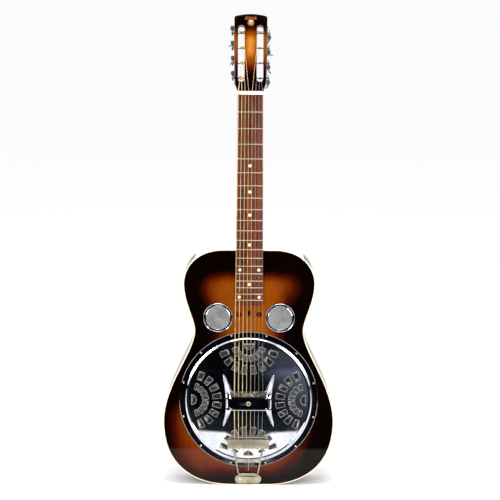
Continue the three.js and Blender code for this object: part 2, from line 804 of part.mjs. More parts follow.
/** Moves a geometry drawn on the (y, z) plane and extruded into place, centred on x. */
function acrossX(geometry, width) {
  const basis = new THREE.Matrix4().makeBasis(
    new THREE.Vector3(0, 1, 0),
    new THREE.Vector3(0, 0, 1),
    new THREE.Vector3(1, 0, 0),
  );
  return geometry.translate(0, 0, -width / 2).applyMatrix4(basis);
}

/** The shaft and heel from the body to the head, tapered with the fingerboard. */
function neckShaft() {
  const start = BODY.length + GAP;
  const end = headY + HEAD.thick;
  const fall = Math.tan(tiltAngle);
  const bellyY = start + NECK.heelLength / 4;
  const side = new THREE.Shape();
  side.moveTo(start, 0);
  side.lineTo(headY, 0);
  side.lineTo(end, -(end - headY) * fall);
  side.lineTo(end, -HEAD.thick / Math.cos(tiltAngle) - (end - headY) * fall);
  side.lineTo(headY - HEAD.thick, -NECK.depth);
  side.lineTo(start + NECK.heelLength, -NECK.depth);
  side.quadraticCurveTo(bellyY, -NECK.depth - NECK.heelBelly, start + NECK.heelFoot, -heelDepth);
  side.lineTo(start, -heelDepth);
  const blank = slab(side, 0, BOARD.nutWidth, 5);
  acrossX(blank, BOARD.nutWidth);
  const places = blank.getAttribute("position");
  for (let i = 0; i < places.count; i++) {
    const y = Math.min(places.getY(i), nutY);
    places.setX(i, (places.getX(i) * boardWidth(y)) / BOARD.nutWidth);
  }
  return solid(blank);
}

function neck() {
  const head = headstock();
  const bores = [...rollerBores(-1), ...rollerBores(1)];
  const drilled = bores.reduce((rest, bore) => rest.subtract(solid(bore)), head);
  const placed = solid(geometryOf(drilled).rotateX(-tiltAngle).translate(0, headY, 0));
  const wide = HEAD.topWidth;
  const above = box([-wide, -1, 0], [wide, 2 * SCALE, BODY.depth]);
  const behind = box([-wide, 0, -2 * BODY.depth], [wide, BODY.length + GAP, BODY.depth]);
  const shaft = neckShaft().subtract(solid(above)).subtract(solid(behind));
  const slotCuts = [-1, 1].map((side) => {
    const slot = oblong(THREE.Shape, side * SLOT.middle, slotStart, slotEnd, SLOT.width);
    const cut = slab(slot, -2 * HEAD.thick, 0);
    return solid(cut.rotateX(-tiltAngle).translate(0, headY, 0));
  });
  return slotCuts.reduce((rest, cut) => rest.subtract(cut), shaft.add(placed));
}

function fingerboard() {
  const start = nutY - GAP;
  const nutHalf = boardWidth(start) / 2;
  const endHalf = boardWidth(boardEnd) / 2;
  const outline = polygon([[-endHalf, boardEnd], [endHalf, boardEnd], [nutHalf, start], [-nutHalf, start]]);
  return slab(outline, GAP, boardTop);
}

// ---------------------------------------------------------------- tuners
const meshReach = GEAR.radius + WORM.radius + WORM.mesh;
const gearX = GAP + STRIP.thick + GAP + WORM.radius; // middle of the gear and the worm, outside the cheek
const lugZ = WORM.length / 2 + GAP;

/** The strip on one cheek: a plate with a pair of lugs for each worm. */
function tunerStrip() {
  const long = stripLength / 2;
  const high = STRIP.height / 2;
  let strip = solid(box([GAP, -long, -high], [GAP + STRIP.thick, long, high]));
  for (let i = 0; i < TUNER.count; i++) {
    const y = (i - (TUNER.count - 1) / 2) * TUNER.pitch;
    const hole = bar(ROLLER.shaft + RUN, 0, 4, 8).rotateY(Math.PI / 2).translate(-1, y, 0);
    const wormY = y - meshReach;
    for (const side of [-1, 1]) {
      const near = side * lugZ;
      const far = side * (lugZ + STRIP.lugThick);
      const lug = box(
        [GAP, wormY - STRIP.lugWidth / 2, Math.min(near, far)],
        [gearX + WORM.shaft + STRIP.lugRim, wormY + STRIP.lugWidth / 2, Math.max(near, far)],
      );
      strip = strip.add(solid(lug));
    }
    const wormBore = bar(WORM.shaft + RUN, -2 * lugZ, 2 * lugZ, 8).translate(gearX, wormY, 0);
    strip = strip.subtract(solid(hole)).subtract(solid(wormBore));
  }
  return strip;
}

/** A roller with its shaft and gear, along x from the web of the head outwards. */
function roller(reach) {
  const web = SLOT.middle - SLOT.width / 2;
  const start = web - ROLLER.intoWeb - reach;
  const inner = web + GAP - reach;
  const outer = SLOT.middle + SLOT.width / 2 - GAP - reach;
  const gear = gearX - GEAR.thick / 2;
  const profile = [
    [0, start],
    [ROLLER.shaft, start],
    [ROLLER.shaft, inner],
    [ROLLER.radius, inner],
    [ROLLER.radius, outer],
    [ROLLER.shaft, outer],
    [ROLLER.shaft, gear],
    [GEAR.radius, gear],
    [GEAR.radius, gear + GEAR.thick],
    [0, gear + GEAR.thick],
  ];
  return turned(profile, 10).rotateY(Math.PI / 2);
}

/** A worm with its shaft and oval button, along z, with the button behind the head. */
function tuningKey(turn) {
  const buttonTop = -(HEAD.thick - TUNER.axisDepth) - BUTTON.behind;
  const tip = lugZ + STRIP.lugThick + 0.6;
  const half = WORM.length / 2;
  const profile = [
    [0, buttonTop - 1],
    [WORM.shaft, buttonTop - 1],
    [WORM.shaft, -half],
    [WORM.radius, -half],
    [WORM.radius, half],
    [WORM.shaft, half],
    [WORM.shaft, tip],
    [0, tip],
  ];
  const button = new THREE.SphereGeometry(1, 8, 6);
  button.scale(BUTTON.length / 2, BUTTON.thick / 2, BUTTON.height / 2).rotateZ(turn);
  button.translate(0, 0, buttonTop - BUTTON.height / 2);
  return solid(turned(profile, 8)).add(solid(button));
}

/** Every tuner of one cheek, in a frame whose x points out of that cheek. */
function tunerParts(side, name) {
  const group = new THREE.Group();
  const middle = TUNER.first + ((TUNER.count - 1) / 2) * TUNER.pitch;
  group.position.set(side * headHalf(middle), middle, -TUNER.axisDepth);
  group.rotation.z = side > 0 ? -sideSlope : Math.PI + sideSlope;
  group.add(part("tuner_strip_" + name, tunerStrip(), MATERIALS.nickel));
  for (let i = 0; i < TUNER.count; i++) {
    const number = side < 0 ? i + 1 : 2 * TUNER.count - i;
    const y = side * (i - (TUNER.count - 1) / 2) * TUNER.pitch;
    const spindle = part("roller_" + number, roller(headHalf(tunerAt(i))), MATERIALS.nickel);
    spindle.position.set(0, y, 0);
    const key = part("tuning_key_" + number, tuningKey(number * BUTTON.turn), MATERIALS.nickel);
    key.position.set(gearX, y - meshReach, 0);
    group.add(spindle, key);
  }
  return group;
}

// ---------------------------------------------------------------- strings
/** A string from the tailpiece over the saddle and the nut, and round its roller. */
function string(index) {
  const radius = STRINGS.radii[index];
  const count = STRINGS.radii.length;
  const place = index - (count - 1) / 2;
  const side = Math.sign(place);
  const tuner = side < 0 ? index : count - 1 - index;
  const nutTop = boardTop + NUT.rise;
  const rollerX = side * (STRINGS.rollerFirst - tuner * STRINGS.rollerStep);
  const wrap = ROLLER.radius + GAP + radius;
  const onRoller = (angle) => {
    const s = tunerAt(tuner) + wrap * Math.sin(angle);
    const height = -TUNER.axisDepth + wrap * Math.cos(angle);
    return new THREE.Vector3(
      rollerX,
      headY + s * Math.cos(tiltAngle) + height * Math.sin(tiltAngle),
      -s * Math.sin(tiltAngle) + height * Math.cos(tiltAngle),
    );
  };
  const at = (spacing, y, z) => new THREE.Vector3(place * spacing, y, z + radius);
  const points = [
    at(STRINGS.tailSpacing, TAIL.plateBottom + TAIL.stringStart, wireZ),
    at(STRINGS.tailSpacing, rodY, wireZ),
    at(STRINGS.saddleSpacing, CONE.above - SADDLE.thick / 2, SADDLE.top + GAP),
    at(STRINGS.saddleSpacing, CONE.above + SADDLE.thick / 2, SADDLE.top + GAP),
    at(STRINGS.nutSpacing, nutY, nutTop + GAP),
    at(STRINGS.nutSpacing, nutY + NUT.thick, nutTop + GAP),
    ...[0, 30, 60, 90].map((angle) => onRoller(THREE.MathUtils.degToRad(angle))),
  ];
  return wire(radius, points, new THREE.Vector3(1, 0, 0), 6);
}

// ---------------------------------------------------------------- tailpiece
function tailpieceFrame() {
  const half = [
    [TAIL.pinReach, knuckleY, knuckleZ],
    [TAIL.legBottom, knuckleY, knuckleZ],
    [TAIL.legTop, TAIL.plateBottom, rodZ - 1],
    [TAIL.rodHalf, rodY - TAIL.cornerDrop, rodZ],
    [TAIL.rodHalf, rodY, rodZ],
  ].map(([x, y, z]) => new THREE.Vector3(x, y, z));
  const bass = half.map((point) => point.clone().setX(-point.x));
  const route = rounded([...bass, ...half.reverse()], TAIL.bend, 3);
  return wire(TAIL.wire, route, new THREE.Vector3(0, 0, 1), 8);
}

/** The folded plate over the string ends, with an ear at each end that reaches down to the rod. */
function tailpiecePlate() {
  const half = TAIL.plateWidth / 2;
  const top = TAIL.plateBottom + TAIL.plateLength;
  const high = plateZ + TAIL.sheet;
  const ear = polygon([
    [TAIL.plateBottom + TAIL.earFoot, high],
    [top, high],
    [rodY + TAIL.wire, rodZ],
    [rodY - 2 * TAIL.wire, rodZ - TAIL.wire],
    [top - TAIL.earFoot, rodZ],
  ]);
  let plate = solid(box([-half, TAIL.plateBottom, plateZ], [half, top, high]));
  for (const side of [-1, 1]) {
    const middle = side * (TAIL.rodHalf + TAIL.wire + GAP + TAIL.sheet / 2);
    const blank = acrossX(slab(ear, 0, TAIL.sheet), TAIL.sheet);
    plate = plate.add(solid(blank.translate(middle, 0, 0)));
  }
  return plate;
}

/** The oblong plate screwed to the top, with a rolled knuckle that holds the wire's two pins. */
function tailpieceBracket() {
  const { width, length, thick, bottom } = BRACKET;
  const radius = length / 2;
  const shape = new THREE.Shape()
    .absarc(width / 2 - radius, bottom + radius, radius, -Math.PI / 2, Math.PI / 2, false)
    .absarc(radius - width / 2, bottom + radius, radius, Math.PI / 2, (3 * Math.PI) / 2, false);
  const half = BRACKET.knuckleLength / 2;
  const alongX = (thickness, reach) =>
    bar(thickness, -reach, reach, 12).rotateY(Math.PI / 2).translate(0, knuckleY, knuckleZ);
  const web = box([-half, bottom + length - BRACKET.webLap, GAP], [half, knuckleY, GAP + thick]);
  return solid(slab(shape, GAP, GAP + thick, 7))
    .add(solid(web))
    .add(solid(alongX(knuckleRadius, half)))
    .subtract(solid(alongX(TAIL.wire + RUN, half + 1)));
}

// ---------------------------------------------------------------- assembly
function guitar() {
  const bench = new THREE.Group();
  bench.rotation.x = Math.PI / 2;
  bench.position.y = -BODY.depth / 2;
  bench.add(bodyParts(), screenParts(), resonatorParts());

  const nutHalf = BOARD.nutWidth / 2;
  const nut = box([-nutHalf, nutY, GAP], [nutHalf, nutY + NUT.thick, boardTop + NUT.rise]);
  bench.add(
    part("neck", neck(), MATERIALS.sunburst),
    part("fingerboard", fingerboard(), MATERIALS.rosewood),
    part("nut", nut, MATERIALS.nut),
  );

  const head = new THREE.Group();
  head.position.set(0, headY, 0);
  head.rotation.x = -tiltAngle;
  head.add(tunerParts(-1, "bass"), tunerParts(1, "treble"));
  bench.add(head);

  STRINGS.radii.forEach((_, i) => {
    const metal = i < STRINGS.wound ? MATERIALS.bronze : MATERIALS.steel;
    bench.add(part("string_" + (i + 1), string(i), metal));
  });
  bench.add(
    part("tailpiece_bracket", tailpieceBracket(), MATERIALS.nickel),
    part("tailpiece_frame", tailpieceFrame(), MATERIALS.nickel),
    part("tailpiece_plate", tailpiecePlate(), MATERIALS.nickel),
  );

  const root = new THREE.Group();
  root.add(bench);
  return root;
}

export default guitar();
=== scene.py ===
"""Eight-string resonator guitar: the finished pieces, their finishes and the studio.

Shapes are modelled in millimetres in the bench frame, as the guitar lies on its back: x to the treble
side, y from the tail to the head, z up out of the face with z = 0 on the wood of the top. The head's
pieces are modelled in a frame of their own, tilted back from the nut. Both frames are then carried into
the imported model's frame, in metres.
"""

import logging
from dataclasses import dataclass, field
from enum import Enum
from math import atan, cos, hypot, pi, radians, sin, sqrt, tan
from typing import Callable, Iterable, Sequence

import bmesh
import bpy
from mathutils import Matrix, Vector, geometry, kdtree


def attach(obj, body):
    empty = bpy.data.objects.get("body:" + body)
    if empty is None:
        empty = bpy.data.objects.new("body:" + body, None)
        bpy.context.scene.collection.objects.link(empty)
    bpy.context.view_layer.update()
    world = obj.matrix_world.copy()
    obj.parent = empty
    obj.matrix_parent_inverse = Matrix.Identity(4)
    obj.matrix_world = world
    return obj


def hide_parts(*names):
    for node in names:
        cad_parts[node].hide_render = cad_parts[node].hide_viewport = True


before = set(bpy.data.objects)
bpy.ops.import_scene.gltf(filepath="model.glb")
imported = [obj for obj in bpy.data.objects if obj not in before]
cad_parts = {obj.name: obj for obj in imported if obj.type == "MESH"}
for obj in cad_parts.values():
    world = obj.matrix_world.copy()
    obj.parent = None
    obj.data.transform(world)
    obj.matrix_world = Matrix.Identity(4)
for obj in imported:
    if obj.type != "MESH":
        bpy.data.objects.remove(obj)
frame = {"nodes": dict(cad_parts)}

LOG = logging.getLogger("resonator_guitar")
MILLIMETRE = 0.001
HALF_DEPTH = 42.5  # of the body, which is how far its face stands in front of the origin
GAP = 0.3  # between parts that touch
NUT_Y = 819.0
SCALE_LENGTH = 635.0
CONE_Y = 184.0  # middle of the cone above the tail
HEAD_Y = 825.8  # where the face of the head starts
HEAD_TILT = 14.5
BOARD_TOP = 7.3
THROUGH = 10.0  # how far a cutter reaches past both faces of the top
PULL = 0.6  # how far a rounded corner's handles reach towards the corner

Point = tuple[float, float, float]
Colour = tuple[float, float, float]
Edge = bmesh.types.BMEdge
Socket = bpy.types.NodeSocket


def shift(x: float, y: float, z: float) -> Matrix:
    """A move along the three axes."""
    return Matrix.Translation((x, y, z))


def turn(angle: float, axis: str = "Z") -> Matrix:
    """A turn about an axis, in radians."""
    return Matrix.Rotation(angle, 4, axis)


BENCH = shift(0, -HALF_DEPTH * MILLIMETRE, 0) @ turn(radians(90), "X") @ Matrix.Scale(MILLIMETRE, 4)
HEAD = BENCH @ shift(0, HEAD_Y, 0) @ turn(-radians(HEAD_TILT), "X")


class Carrier(str, Enum):
    """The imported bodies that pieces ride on."""

    INSTRUMENT = "instrument"
    TAILPIECE = "tailpiece"


class Slot(str, Enum):
    """The record's material slots."""

    SUNBURST = "sunburst_wood"
    INNER = "inner_wood"
    BINDING = "binding"
    CHROME = "chrome"
    ALUMINIUM = "spun_aluminium"
    SCREEN = "screen_mesh"
    BOARD = "fingerboard_wood"
    NUT = "nut"
    MAPLE = "maple"
    NICKEL = "aged_nickel"
    TUNER = "tuner_metal"
    STEEL = "steel"
    PLAIN = "plain_string"
    WOUND = "wound_string"


def srgb(red: int, green: int, blue: int) -> Colour:
    """Turns a display colour, each channel 0 to 255, into a linear one."""
    shares = (red / 255, green / 255, blue / 255)
    return tuple(c / 12.92 if c <= 0.04045 else ((c + 0.055) / 1.055) ** 2.4 for c in shares)


def fade(low: float, high: float, value: float) -> float:
    """Rises smoothly from 0 where the value is low to 1 where it is high."""
    share = min(1.0, max(0.0, (value - low) / (high - low)))
    return share * share * (3 - 2 * share)


# -- finishes
class Mixer:
    """Lays nodes in one material or node group."""

    def __init__(self, tree: bpy.types.NodeTree) -> None:
        """Keeps the tree that nodes are laid in."""
        self.tree = tree

    def add(self, kind: str, inputs: dict | None = None, **settings: object) -> bpy.types.Node:
        """Adds a node.

        Args:
            kind: the node's type, without its ShaderNode prefix.
            inputs: values or output sockets by input name or index.
            settings: properties of the node.

        Returns:
            The new node.
        """
        node = self.tree.nodes.new(kind if kind.startswith("Node") else "ShaderNode" + kind)
        for name, value in settings.items():
            setattr(node, name, value)
        for name, value in (inputs or {}).items():
            if isinstance(value, Socket):
                self.tree.links.new(value, node.inputs[name])
            else:
                node.inputs[name].default_value = value
        return node

    def place(self, scale: Point = (1, 1, 1), at: Point = (0, 0, 0)) -> Socket:
        """The object's own coordinates, scaled and then moved."""
        where = self.add("TexCoord").outputs["Object"]
        return self.add("Mapping", {"Vector": where, "Scale": scale, "Location": at}).outputs[0]

    def noise(self, vector: object, scale: float, detail: float = 4, rough: float = 0.5) -> object:
        """A noise pattern's value at its coordinates, with the strength of its finer layers."""
        values = {"Vector": vector, "Scale": scale, "Detail": detail, "Roughness": rough}
        return self.add("TexNoise", values).outputs[0]

    def ramp(self, value: object, stops: Sequence[tuple[float, Colour]]) -> Socket:
        """Colours along a value.

        Args:
            value: the value's socket.
            stops: places from 0 to 1 and their colours.

        Returns:
            The colour output.
        """
        node = self.add("ValToRGB", {"Fac": value})
        marks = node.color_ramp.elements
        for index, (place, colour) in enumerate(stops):
            mark = marks[index] if index < 2 else marks.new(place)
            mark.position = place
            mark.color = (*colour, 1)
        return node.outputs["Color"]

    def span(self, value: object, low: float, high: float, start: float = 0, end: float = 1) -> object:
        """Stretches a value's range.

        Args:
            value: the value's socket.
            low: the result at start.
            high: the result at end.
            start: the value that gives low.
            end: the value that gives high.

        Returns:
            The value output.
        """
        names = ("From Min", "From Max", "To Min", "To Max")
        values = dict(zip(names, (start, end, low, high)))
        return self.add("MapRange", {"Value": value, **values}).outputs[0]

    def blend(self, share: object, first: object, second: object, kind: str = "MIX") -> object:
        """Mixes two colours: the share is how much the second one counts."""
        node = self.add("Mix", {0: share, 6: first, 7: second}, data_type="RGBA", blend_type=kind)
        return node.outputs[2]

    def sum(self, kind: str, *values: object) -> Socket:
        """One step of arithmetic on values or sockets."""
        return self.add("Math", dict(enumerate(values)), operation=kind).outputs[0]

    def group(self, tree: bpy.types.NodeTree, values: dict) -> dict:
        """Places a shared node group, and gives its outputs by Principled input."""
        made = self.add("Group", values, node_tree=tree).outputs
        return {"Base Color": made["Color"], "Roughness": made["Roughness"], "Height": made["Height"]}


def bare_material(name: str) -> tuple[bpy.types.Material, Mixer]:
    """Makes a material without nodes.

    Args:
        name: its name.

    Returns:
        The material and the mixer of its nodes.
    """
    made = bpy.data.materials.new(name)
    made.use_nodes = True
    made.node_tree.nodes.clear()
    return made, Mixer(made.node_tree)


class Effects:
    """Node groups that several finishes share, each built once."""

    def __init__(self) -> None:
        """Builds the groups."""
        self.timber = self._group("timber grain", {"Tint": "Color", "Depth": "Float"}, self._timber)
        marks = {"Clean": "Color", "Stained": "Color", "Gloss": "Float", "Dull": "Float"}
        self.handling = self._group("marks of use", marks, self._handling)

    @staticmethod
    def _group(name: str, inputs: dict[str, str], lay: Callable) -> bpy.types.NodeTree:
        """Makes a node group that gives Color, Roughness and Height.

        Args:
            name: its name.
            inputs: the types of its inputs, by name.
            lay: lays the nodes between the inputs and the outputs.

        Returns:
            The group.
        """
        tree = bpy.data.node_groups.new(name, "ShaderNodeTree")
        outputs = {"Color": "Color", "Roughness": "Float", "Height": "Float"}
        for direction, sockets in (("INPUT", inputs), ("OUTPUT", outputs)):
            for title, kind in sockets.items():
                tree.interface.new_socket(name=title, in_out=direction, socket_type="NodeSocket" + kind)
        mixer = Mixer(tree)
        given = mixer.add("NodeGroupInput").outputs
        mixer.add("NodeGroupOutput", lay(mixer, given))
        return tree

    @staticmethod
    def _timber(mixer: Mixer, given: object) -> dict:
        """Lays grain of wood that runs along z: streaks that tint a colour, and pores.

        Args:
            mixer: lays nodes in the group.
            given: the group's inputs.

        Returns:
            Sockets by output.
        """
        broad = mixer.noise(mixer.place((9, 9, 1.1)), 6, 3, 0.6)
        fine = mixer.noise(mixer.place((60, 60, 2.4), (3, 1, 0)), 9, 4, 0.6)
        pores = mixer.noise(mixer.place((160, 160, 9)), 9, 2)
        streak = mixer.sum("ADD", mixer.sum("MULTIPLY", broad, 0.55), mixer.sum("MULTIPLY", fine, 0.45))
        shade = mixer.ramp(streak, [(0.36, (0.42, 0.36, 0.32)), (0.62, (1.12, 1.1, 1.06))])
        return {
            "Color": mixer.blend(given["Depth"], given["Tint"], shade, "MULTIPLY"),
            "Roughness": mixer.span(fine, 0.28, 0.5),
            "Height": mixer.span(pores, 0, 1, 0.35, 0.6),
        }

    @staticmethod
    def _handling(mixer: Mixer, given: object) -> dict:
        """Lays marks of use: smears that stain a colour and dull its gloss, and hairline scratches.

        Args:
            mixer: lays nodes in the group.
            given: the group's inputs.

        Returns:
            Sockets by output.
        """
        where = mixer.place()
        cloudy = mixer.span(mixer.noise(where, 38, 5, 0.6), 0, 1, 0.42, 0.72)
        specks = mixer.span(mixer.noise(where, 420, 2), 0, 1, 0.62, 0.7)
        hair = mixer.noise(mixer.place((900, 60, 240), (0.4, 0, 0)), 2, 2)
        stain = mixer.sum("MAXIMUM", cloudy, mixer.sum("MULTIPLY", specks, 0.8))
        extra = mixer.sum("SUBTRACT", given["Dull"], given["Gloss"])
        return {
            "Color": mixer.blend(stain, given["Clean"], given["Stained"]),
            "Roughness": mixer.sum("MULTIPLY_ADD", extra, stain, given["Gloss"]),
            "Height": mixer.span(hair, 0, 1, 0.45, 0.7),
        }


@dataclass(frozen=True)
class Finish:
    """One surface finish."""

    name: str
    shader: dict = field(default_factory=dict)
    bump: float = 0.1
    bump_depth: float = 0.0001

    def paint(self, mixer: Mixer, effects: Effects) -> dict:
        """Lays the pattern nodes and gives their sockets by Principled input, with Height for the bump."""
        raise NotImplementedError

    def material(self, effects: Effects) -> bpy.types.Material:
        """Makes the material.

        Args:
            effects: the shared node groups.

        Returns:
            The finished material.
        """
        made, mixer = bare_material(self.name)
        wired = self.paint(mixer, effects)
        height = wired.pop("Height", None)
        if height is not None:
            values = {"Strength": self.bump, "Distance": self.bump_depth, "Height": height}
            wired["Normal"] = mixer.add("Bump", values).outputs[0]
        shader = mixer.add("BsdfPrincipled", {**self.shader, **wired})
        mixer.add("OutputMaterial", {"Surface": shader.outputs[0]})
        return made


@dataclass(frozen=True)
class Metal(Finish):
    """Bare or plated metal with the marks of use."""

    clean: Colour = (0.8, 0.8, 0.8)
    stained: Colour = (0.5, 0.48, 0.42)
    gloss: float = 0.05
    dull: float = 0.2

    def paint(self, mixer: Mixer, effects: Effects) -> dict:
        """Lays the marks of use over the plating; Args and Returns are Finish's."""
        values = {"Clean": (*self.clean, 1), "Stained": (*self.stained, 1), "Gloss": self.gloss}
        return mixer.group(effects.handling, {**values, "Dull": self.dull})


@dataclass(frozen=True)
class Spun(Metal):
    """Aluminium spun on a lathe, with rings about the middle of the cone."""

    pitch: float = 0.0022

    def paint(self, mixer: Mixer, effects: Effects) -> dict:
        """Lays turned rings over the metal; Args and Returns are Finish's."""
        wired = super().paint(mixer, effects)
        middle = mixer.place(at=(0, 0, -CONE_Y * MILLIMETRE))
        flat = mixer.add("VectorMath", {0: middle, 1: (1, 0, 1)}, operation="MULTIPLY").outputs[0]
        reach = mixer.add("VectorMath", {0: flat}, operation="LENGTH").outputs["Value"]
        wave = mixer.sum("SINE", mixer.sum("MULTIPLY", reach, 2 * pi / self.pitch))
        wired["Height"] = wave
        dark = tuple(channel * 0.45 for channel in self.clean)
        bands = mixer.noise(mixer.add("CombineXYZ", {0: reach}).outputs[0], 260, 3)
        wired["Base Color"] = mixer.ramp(bands, [(0.35, dark), (0.65, self.clean)])
        return wired


@dataclass(frozen=True)
class Wound(Metal):
    """A string's winding, in fine turns up its length."""

    pitch: float = 0.0006

    def paint(self, mixer: Mixer, effects: Effects) -> dict:
        """Lays the winding's turns over the metal; Args and Returns are Finish's."""
        wired = super().paint(mixer, effects)
        split = mixer.add("SeparateXYZ", {0: mixer.place()})
        wired["Height"] = mixer.sum("SINE", mixer.sum("MULTIPLY", split.outputs[2], 2 * pi / self.pitch))
        return wired


@dataclass(frozen=True)
class Timber(Finish):
    """Plain wood with its grain up the instrument."""

    tint: Colour = (0.4, 0.3, 0.2)
    depth: float = 0.7

    def paint(self, mixer: Mixer, effects: Effects) -> dict:
        """Lays the grain; Args and Returns are Finish's."""
        return mixer.group(effects.timber, {"Tint": (*self.tint, 1), "Depth": self.depth})


@dataclass(frozen=True)
class Sunburst(Finish):
    """Stained and lacquered wood: the burst attribute runs from 0, black, to 1, gold."""

    stops: tuple = (
        (0.0, srgb(3, 1, 1)), (0.2, srgb(10, 2, 1)), (0.38, srgb(54, 10, 2)), (0.55, srgb(96, 36, 3)),
        (0.78, srgb(134, 68, 8)), (1.0, srgb(200, 136, 54)),
    )
    depth: float = 0.42

    def paint(self, mixer: Mixer, effects: Effects) -> dict:
        """Lays the burst, its grain and the lacquer's fine swirls; Args and Returns are Finish's."""
        share = mixer.add("Attribute", attribute_name="burst").outputs["Fac"]
        cloud = mixer.span(mixer.noise(mixer.place((1, 1, 0.45)), 22, 3), -0.045, 0.045, 0.3, 0.7)
        colour = mixer.ramp(mixer.sum("ADD", share, cloud), self.stops)
        swirl = mixer.noise(mixer.place(), 55, 3)
        return {
            **mixer.group(effects.timber, {"Tint": colour, "Depth": self.depth}),
            "Roughness": mixer.span(swirl, 0.3, 0.42, 0.3, 0.7),
            "Coat Weight": mixer.span(swirl, 0.8, 0.55, 0.35, 0.75),
            "Height": swirl,
        }


@dataclass(frozen=True)
class Rosewood(Finish):
    """Fingerboard wood: red brown with dark streaks, and stains where the fingers play."""

    stains: tuple = ((-0.016, 0.48, 0.012), (-0.009, 0.788, 0.006), (-0.018, 0.56, 0.008))

    def paint(self, mixer: Mixer, effects: Effects) -> dict:
        """Lays streaks, pores and stains; Args and Returns are Finish's."""
        streak = mixer.noise(mixer.place((26, 26, 0.9)), 9, 4, 0.65)
        stops = [
            (0.3, srgb(38, 13, 4)), (0.46, srgb(82, 34, 12)), (0.58, srgb(98, 43, 16)),
            (0.75, srgb(126, 64, 29)),
        ]
        colour = mixer.ramp(streak, stops)
        worn = None
        for x, z, reach in self.stains:
            away = mixer.place((1, 0, 0.22), (-x, 0, -z * 0.22))
            length = mixer.add("VectorMath", {0: away}, operation="LENGTH").outputs["Value"]
            mark = mixer.span(length, 0.8, 0.0, reach * 0.25, reach)
            worn = mark if worn is None else mixer.sum("MAXIMUM", worn, mark)
        patchy = mixer.sum("MULTIPLY", worn, mixer.noise(mixer.place(), 150, 4))
        colour = mixer.blend(patchy, colour, (*srgb(22, 10, 8), 1))
        pores = mixer.noise(mixer.place((220, 220, 12)), 9, 2)
        return {
            "Base Color": colour,
            "Roughness": mixer.span(streak, 0.34, 0.56, 0.3, 0.7),
            "Height": mixer.span(pores, 0, 1, 0.35, 0.6),
        }


@dataclass(frozen=True)
class Moulded(Finish):
    """Celluloid, bone or pearl: two close colours that cloud into each other."""

    light: Colour = (0.8, 0.75, 0.6)
    dark: Colour = (0.6, 0.5, 0.35)
    scale: float = 60.0
    gloss: float = 0.25
    dull: float = 0.45

    def paint(self, mixer: Mixer, effects: Effects) -> dict:
        """Lays the clouding; Args and Returns are Finish's."""
        cloud = mixer.noise(mixer.place(), self.scale, 4)
        return {
            "Base Color": mixer.ramp(cloud, [(0.3, self.dark), (0.62, self.light)]),
            "Roughness": mixer.span(cloud, self.gloss, self.dull, 0.35, 0.7),
            "Height": mixer.noise(mixer.place(), self.scale * 6, 2),
        }


METAL = {"Metallic": 1.0}
PLATED = {"Metallic": 0.92}
GAUZE = {"Metallic": 0.8}
BURNISHED = {"Metallic": 0.7}
WIRE = {"Metallic": 0.6}
WINDING = {"Metallic": 0.5}
CLOTH = {"Metallic": 0.4}
WORN = {"Metallic": 0.35}
ENAMEL = {"Coat Weight": 0.6}
LACQUER = {"Coat Roughness": 0.04, "Coat IOR": 1.32, "Specular IOR Level": 0.0}
FINISHES: dict[Slot, Finish] = {
    Slot.SUNBURST: Sunburst("sunburst lacquer", LACQUER, 0.06, 0.0003),
    Slot.INNER: Timber("bare spruce", {}, 0.3, 0.0002, srgb(150, 112, 70), 0.7),
    Slot.BINDING: Moulded("ivory celluloid", {}, 0.05, 0.0001, srgb(238, 228, 198), srgb(214, 194, 150)),
    Slot.CHROME: Metal(
        "polished chrome", METAL, 0.02, 0.00005, srgb(226, 228, 234), srgb(190, 194, 204), 0.035, 0.13
    ),
    Slot.ALUMINIUM: Spun(
        "spun aluminium", METAL, 0.25, 0.0002, srgb(184, 175, 158), srgb(130, 120, 102), 0.3, 0.5
    ),
    Slot.SCREEN: Metal(
        "woven wire", CLOTH, 0.2, 0.0001, srgb(186, 188, 186), srgb(142, 142, 138), 0.4, 0.6
    ),
    Slot.BOARD: Rosewood("rosewood", {"Specular IOR Level": 0.15}, 0.35, 0.00015),
    Slot.NUT: Moulded("bone", {}, 0.08, 0.0001, srgb(246, 243, 234), srgb(226, 218, 196), 90),
    Slot.MAPLE: Timber("maple", {}, 0.2, 0.0001, srgb(205, 170, 112), 0.5),
    Slot.NICKEL: Metal(
        "aged nickel", METAL, 0.2, 0.0001, srgb(190, 181, 162), srgb(146, 134, 112), 0.34, 0.5
    ),
    Slot.TUNER: Metal(
        "tuner plating", PLATED, 0.08, 0.00005, srgb(166, 168, 172), srgb(120, 116, 110), 0.1, 0.3
    ),
    Slot.STEEL: Metal(
        "blued steel", METAL, 0.1, 0.00005, srgb(168, 166, 160), srgb(104, 92, 78), 0.25, 0.45
    ),
    Slot.PLAIN: Metal(
        "plain string wire", WIRE, 0.05, 0.00002, srgb(196, 194, 192), srgb(140, 136, 130), 0.2, 0.35
    ),
    Slot.WOUND: Wound(
        "bronze winding", WINDING, 0.5, 0.0001, srgb(226, 200, 150), srgb(176, 138, 92), 0.28, 0.42
    ),
}


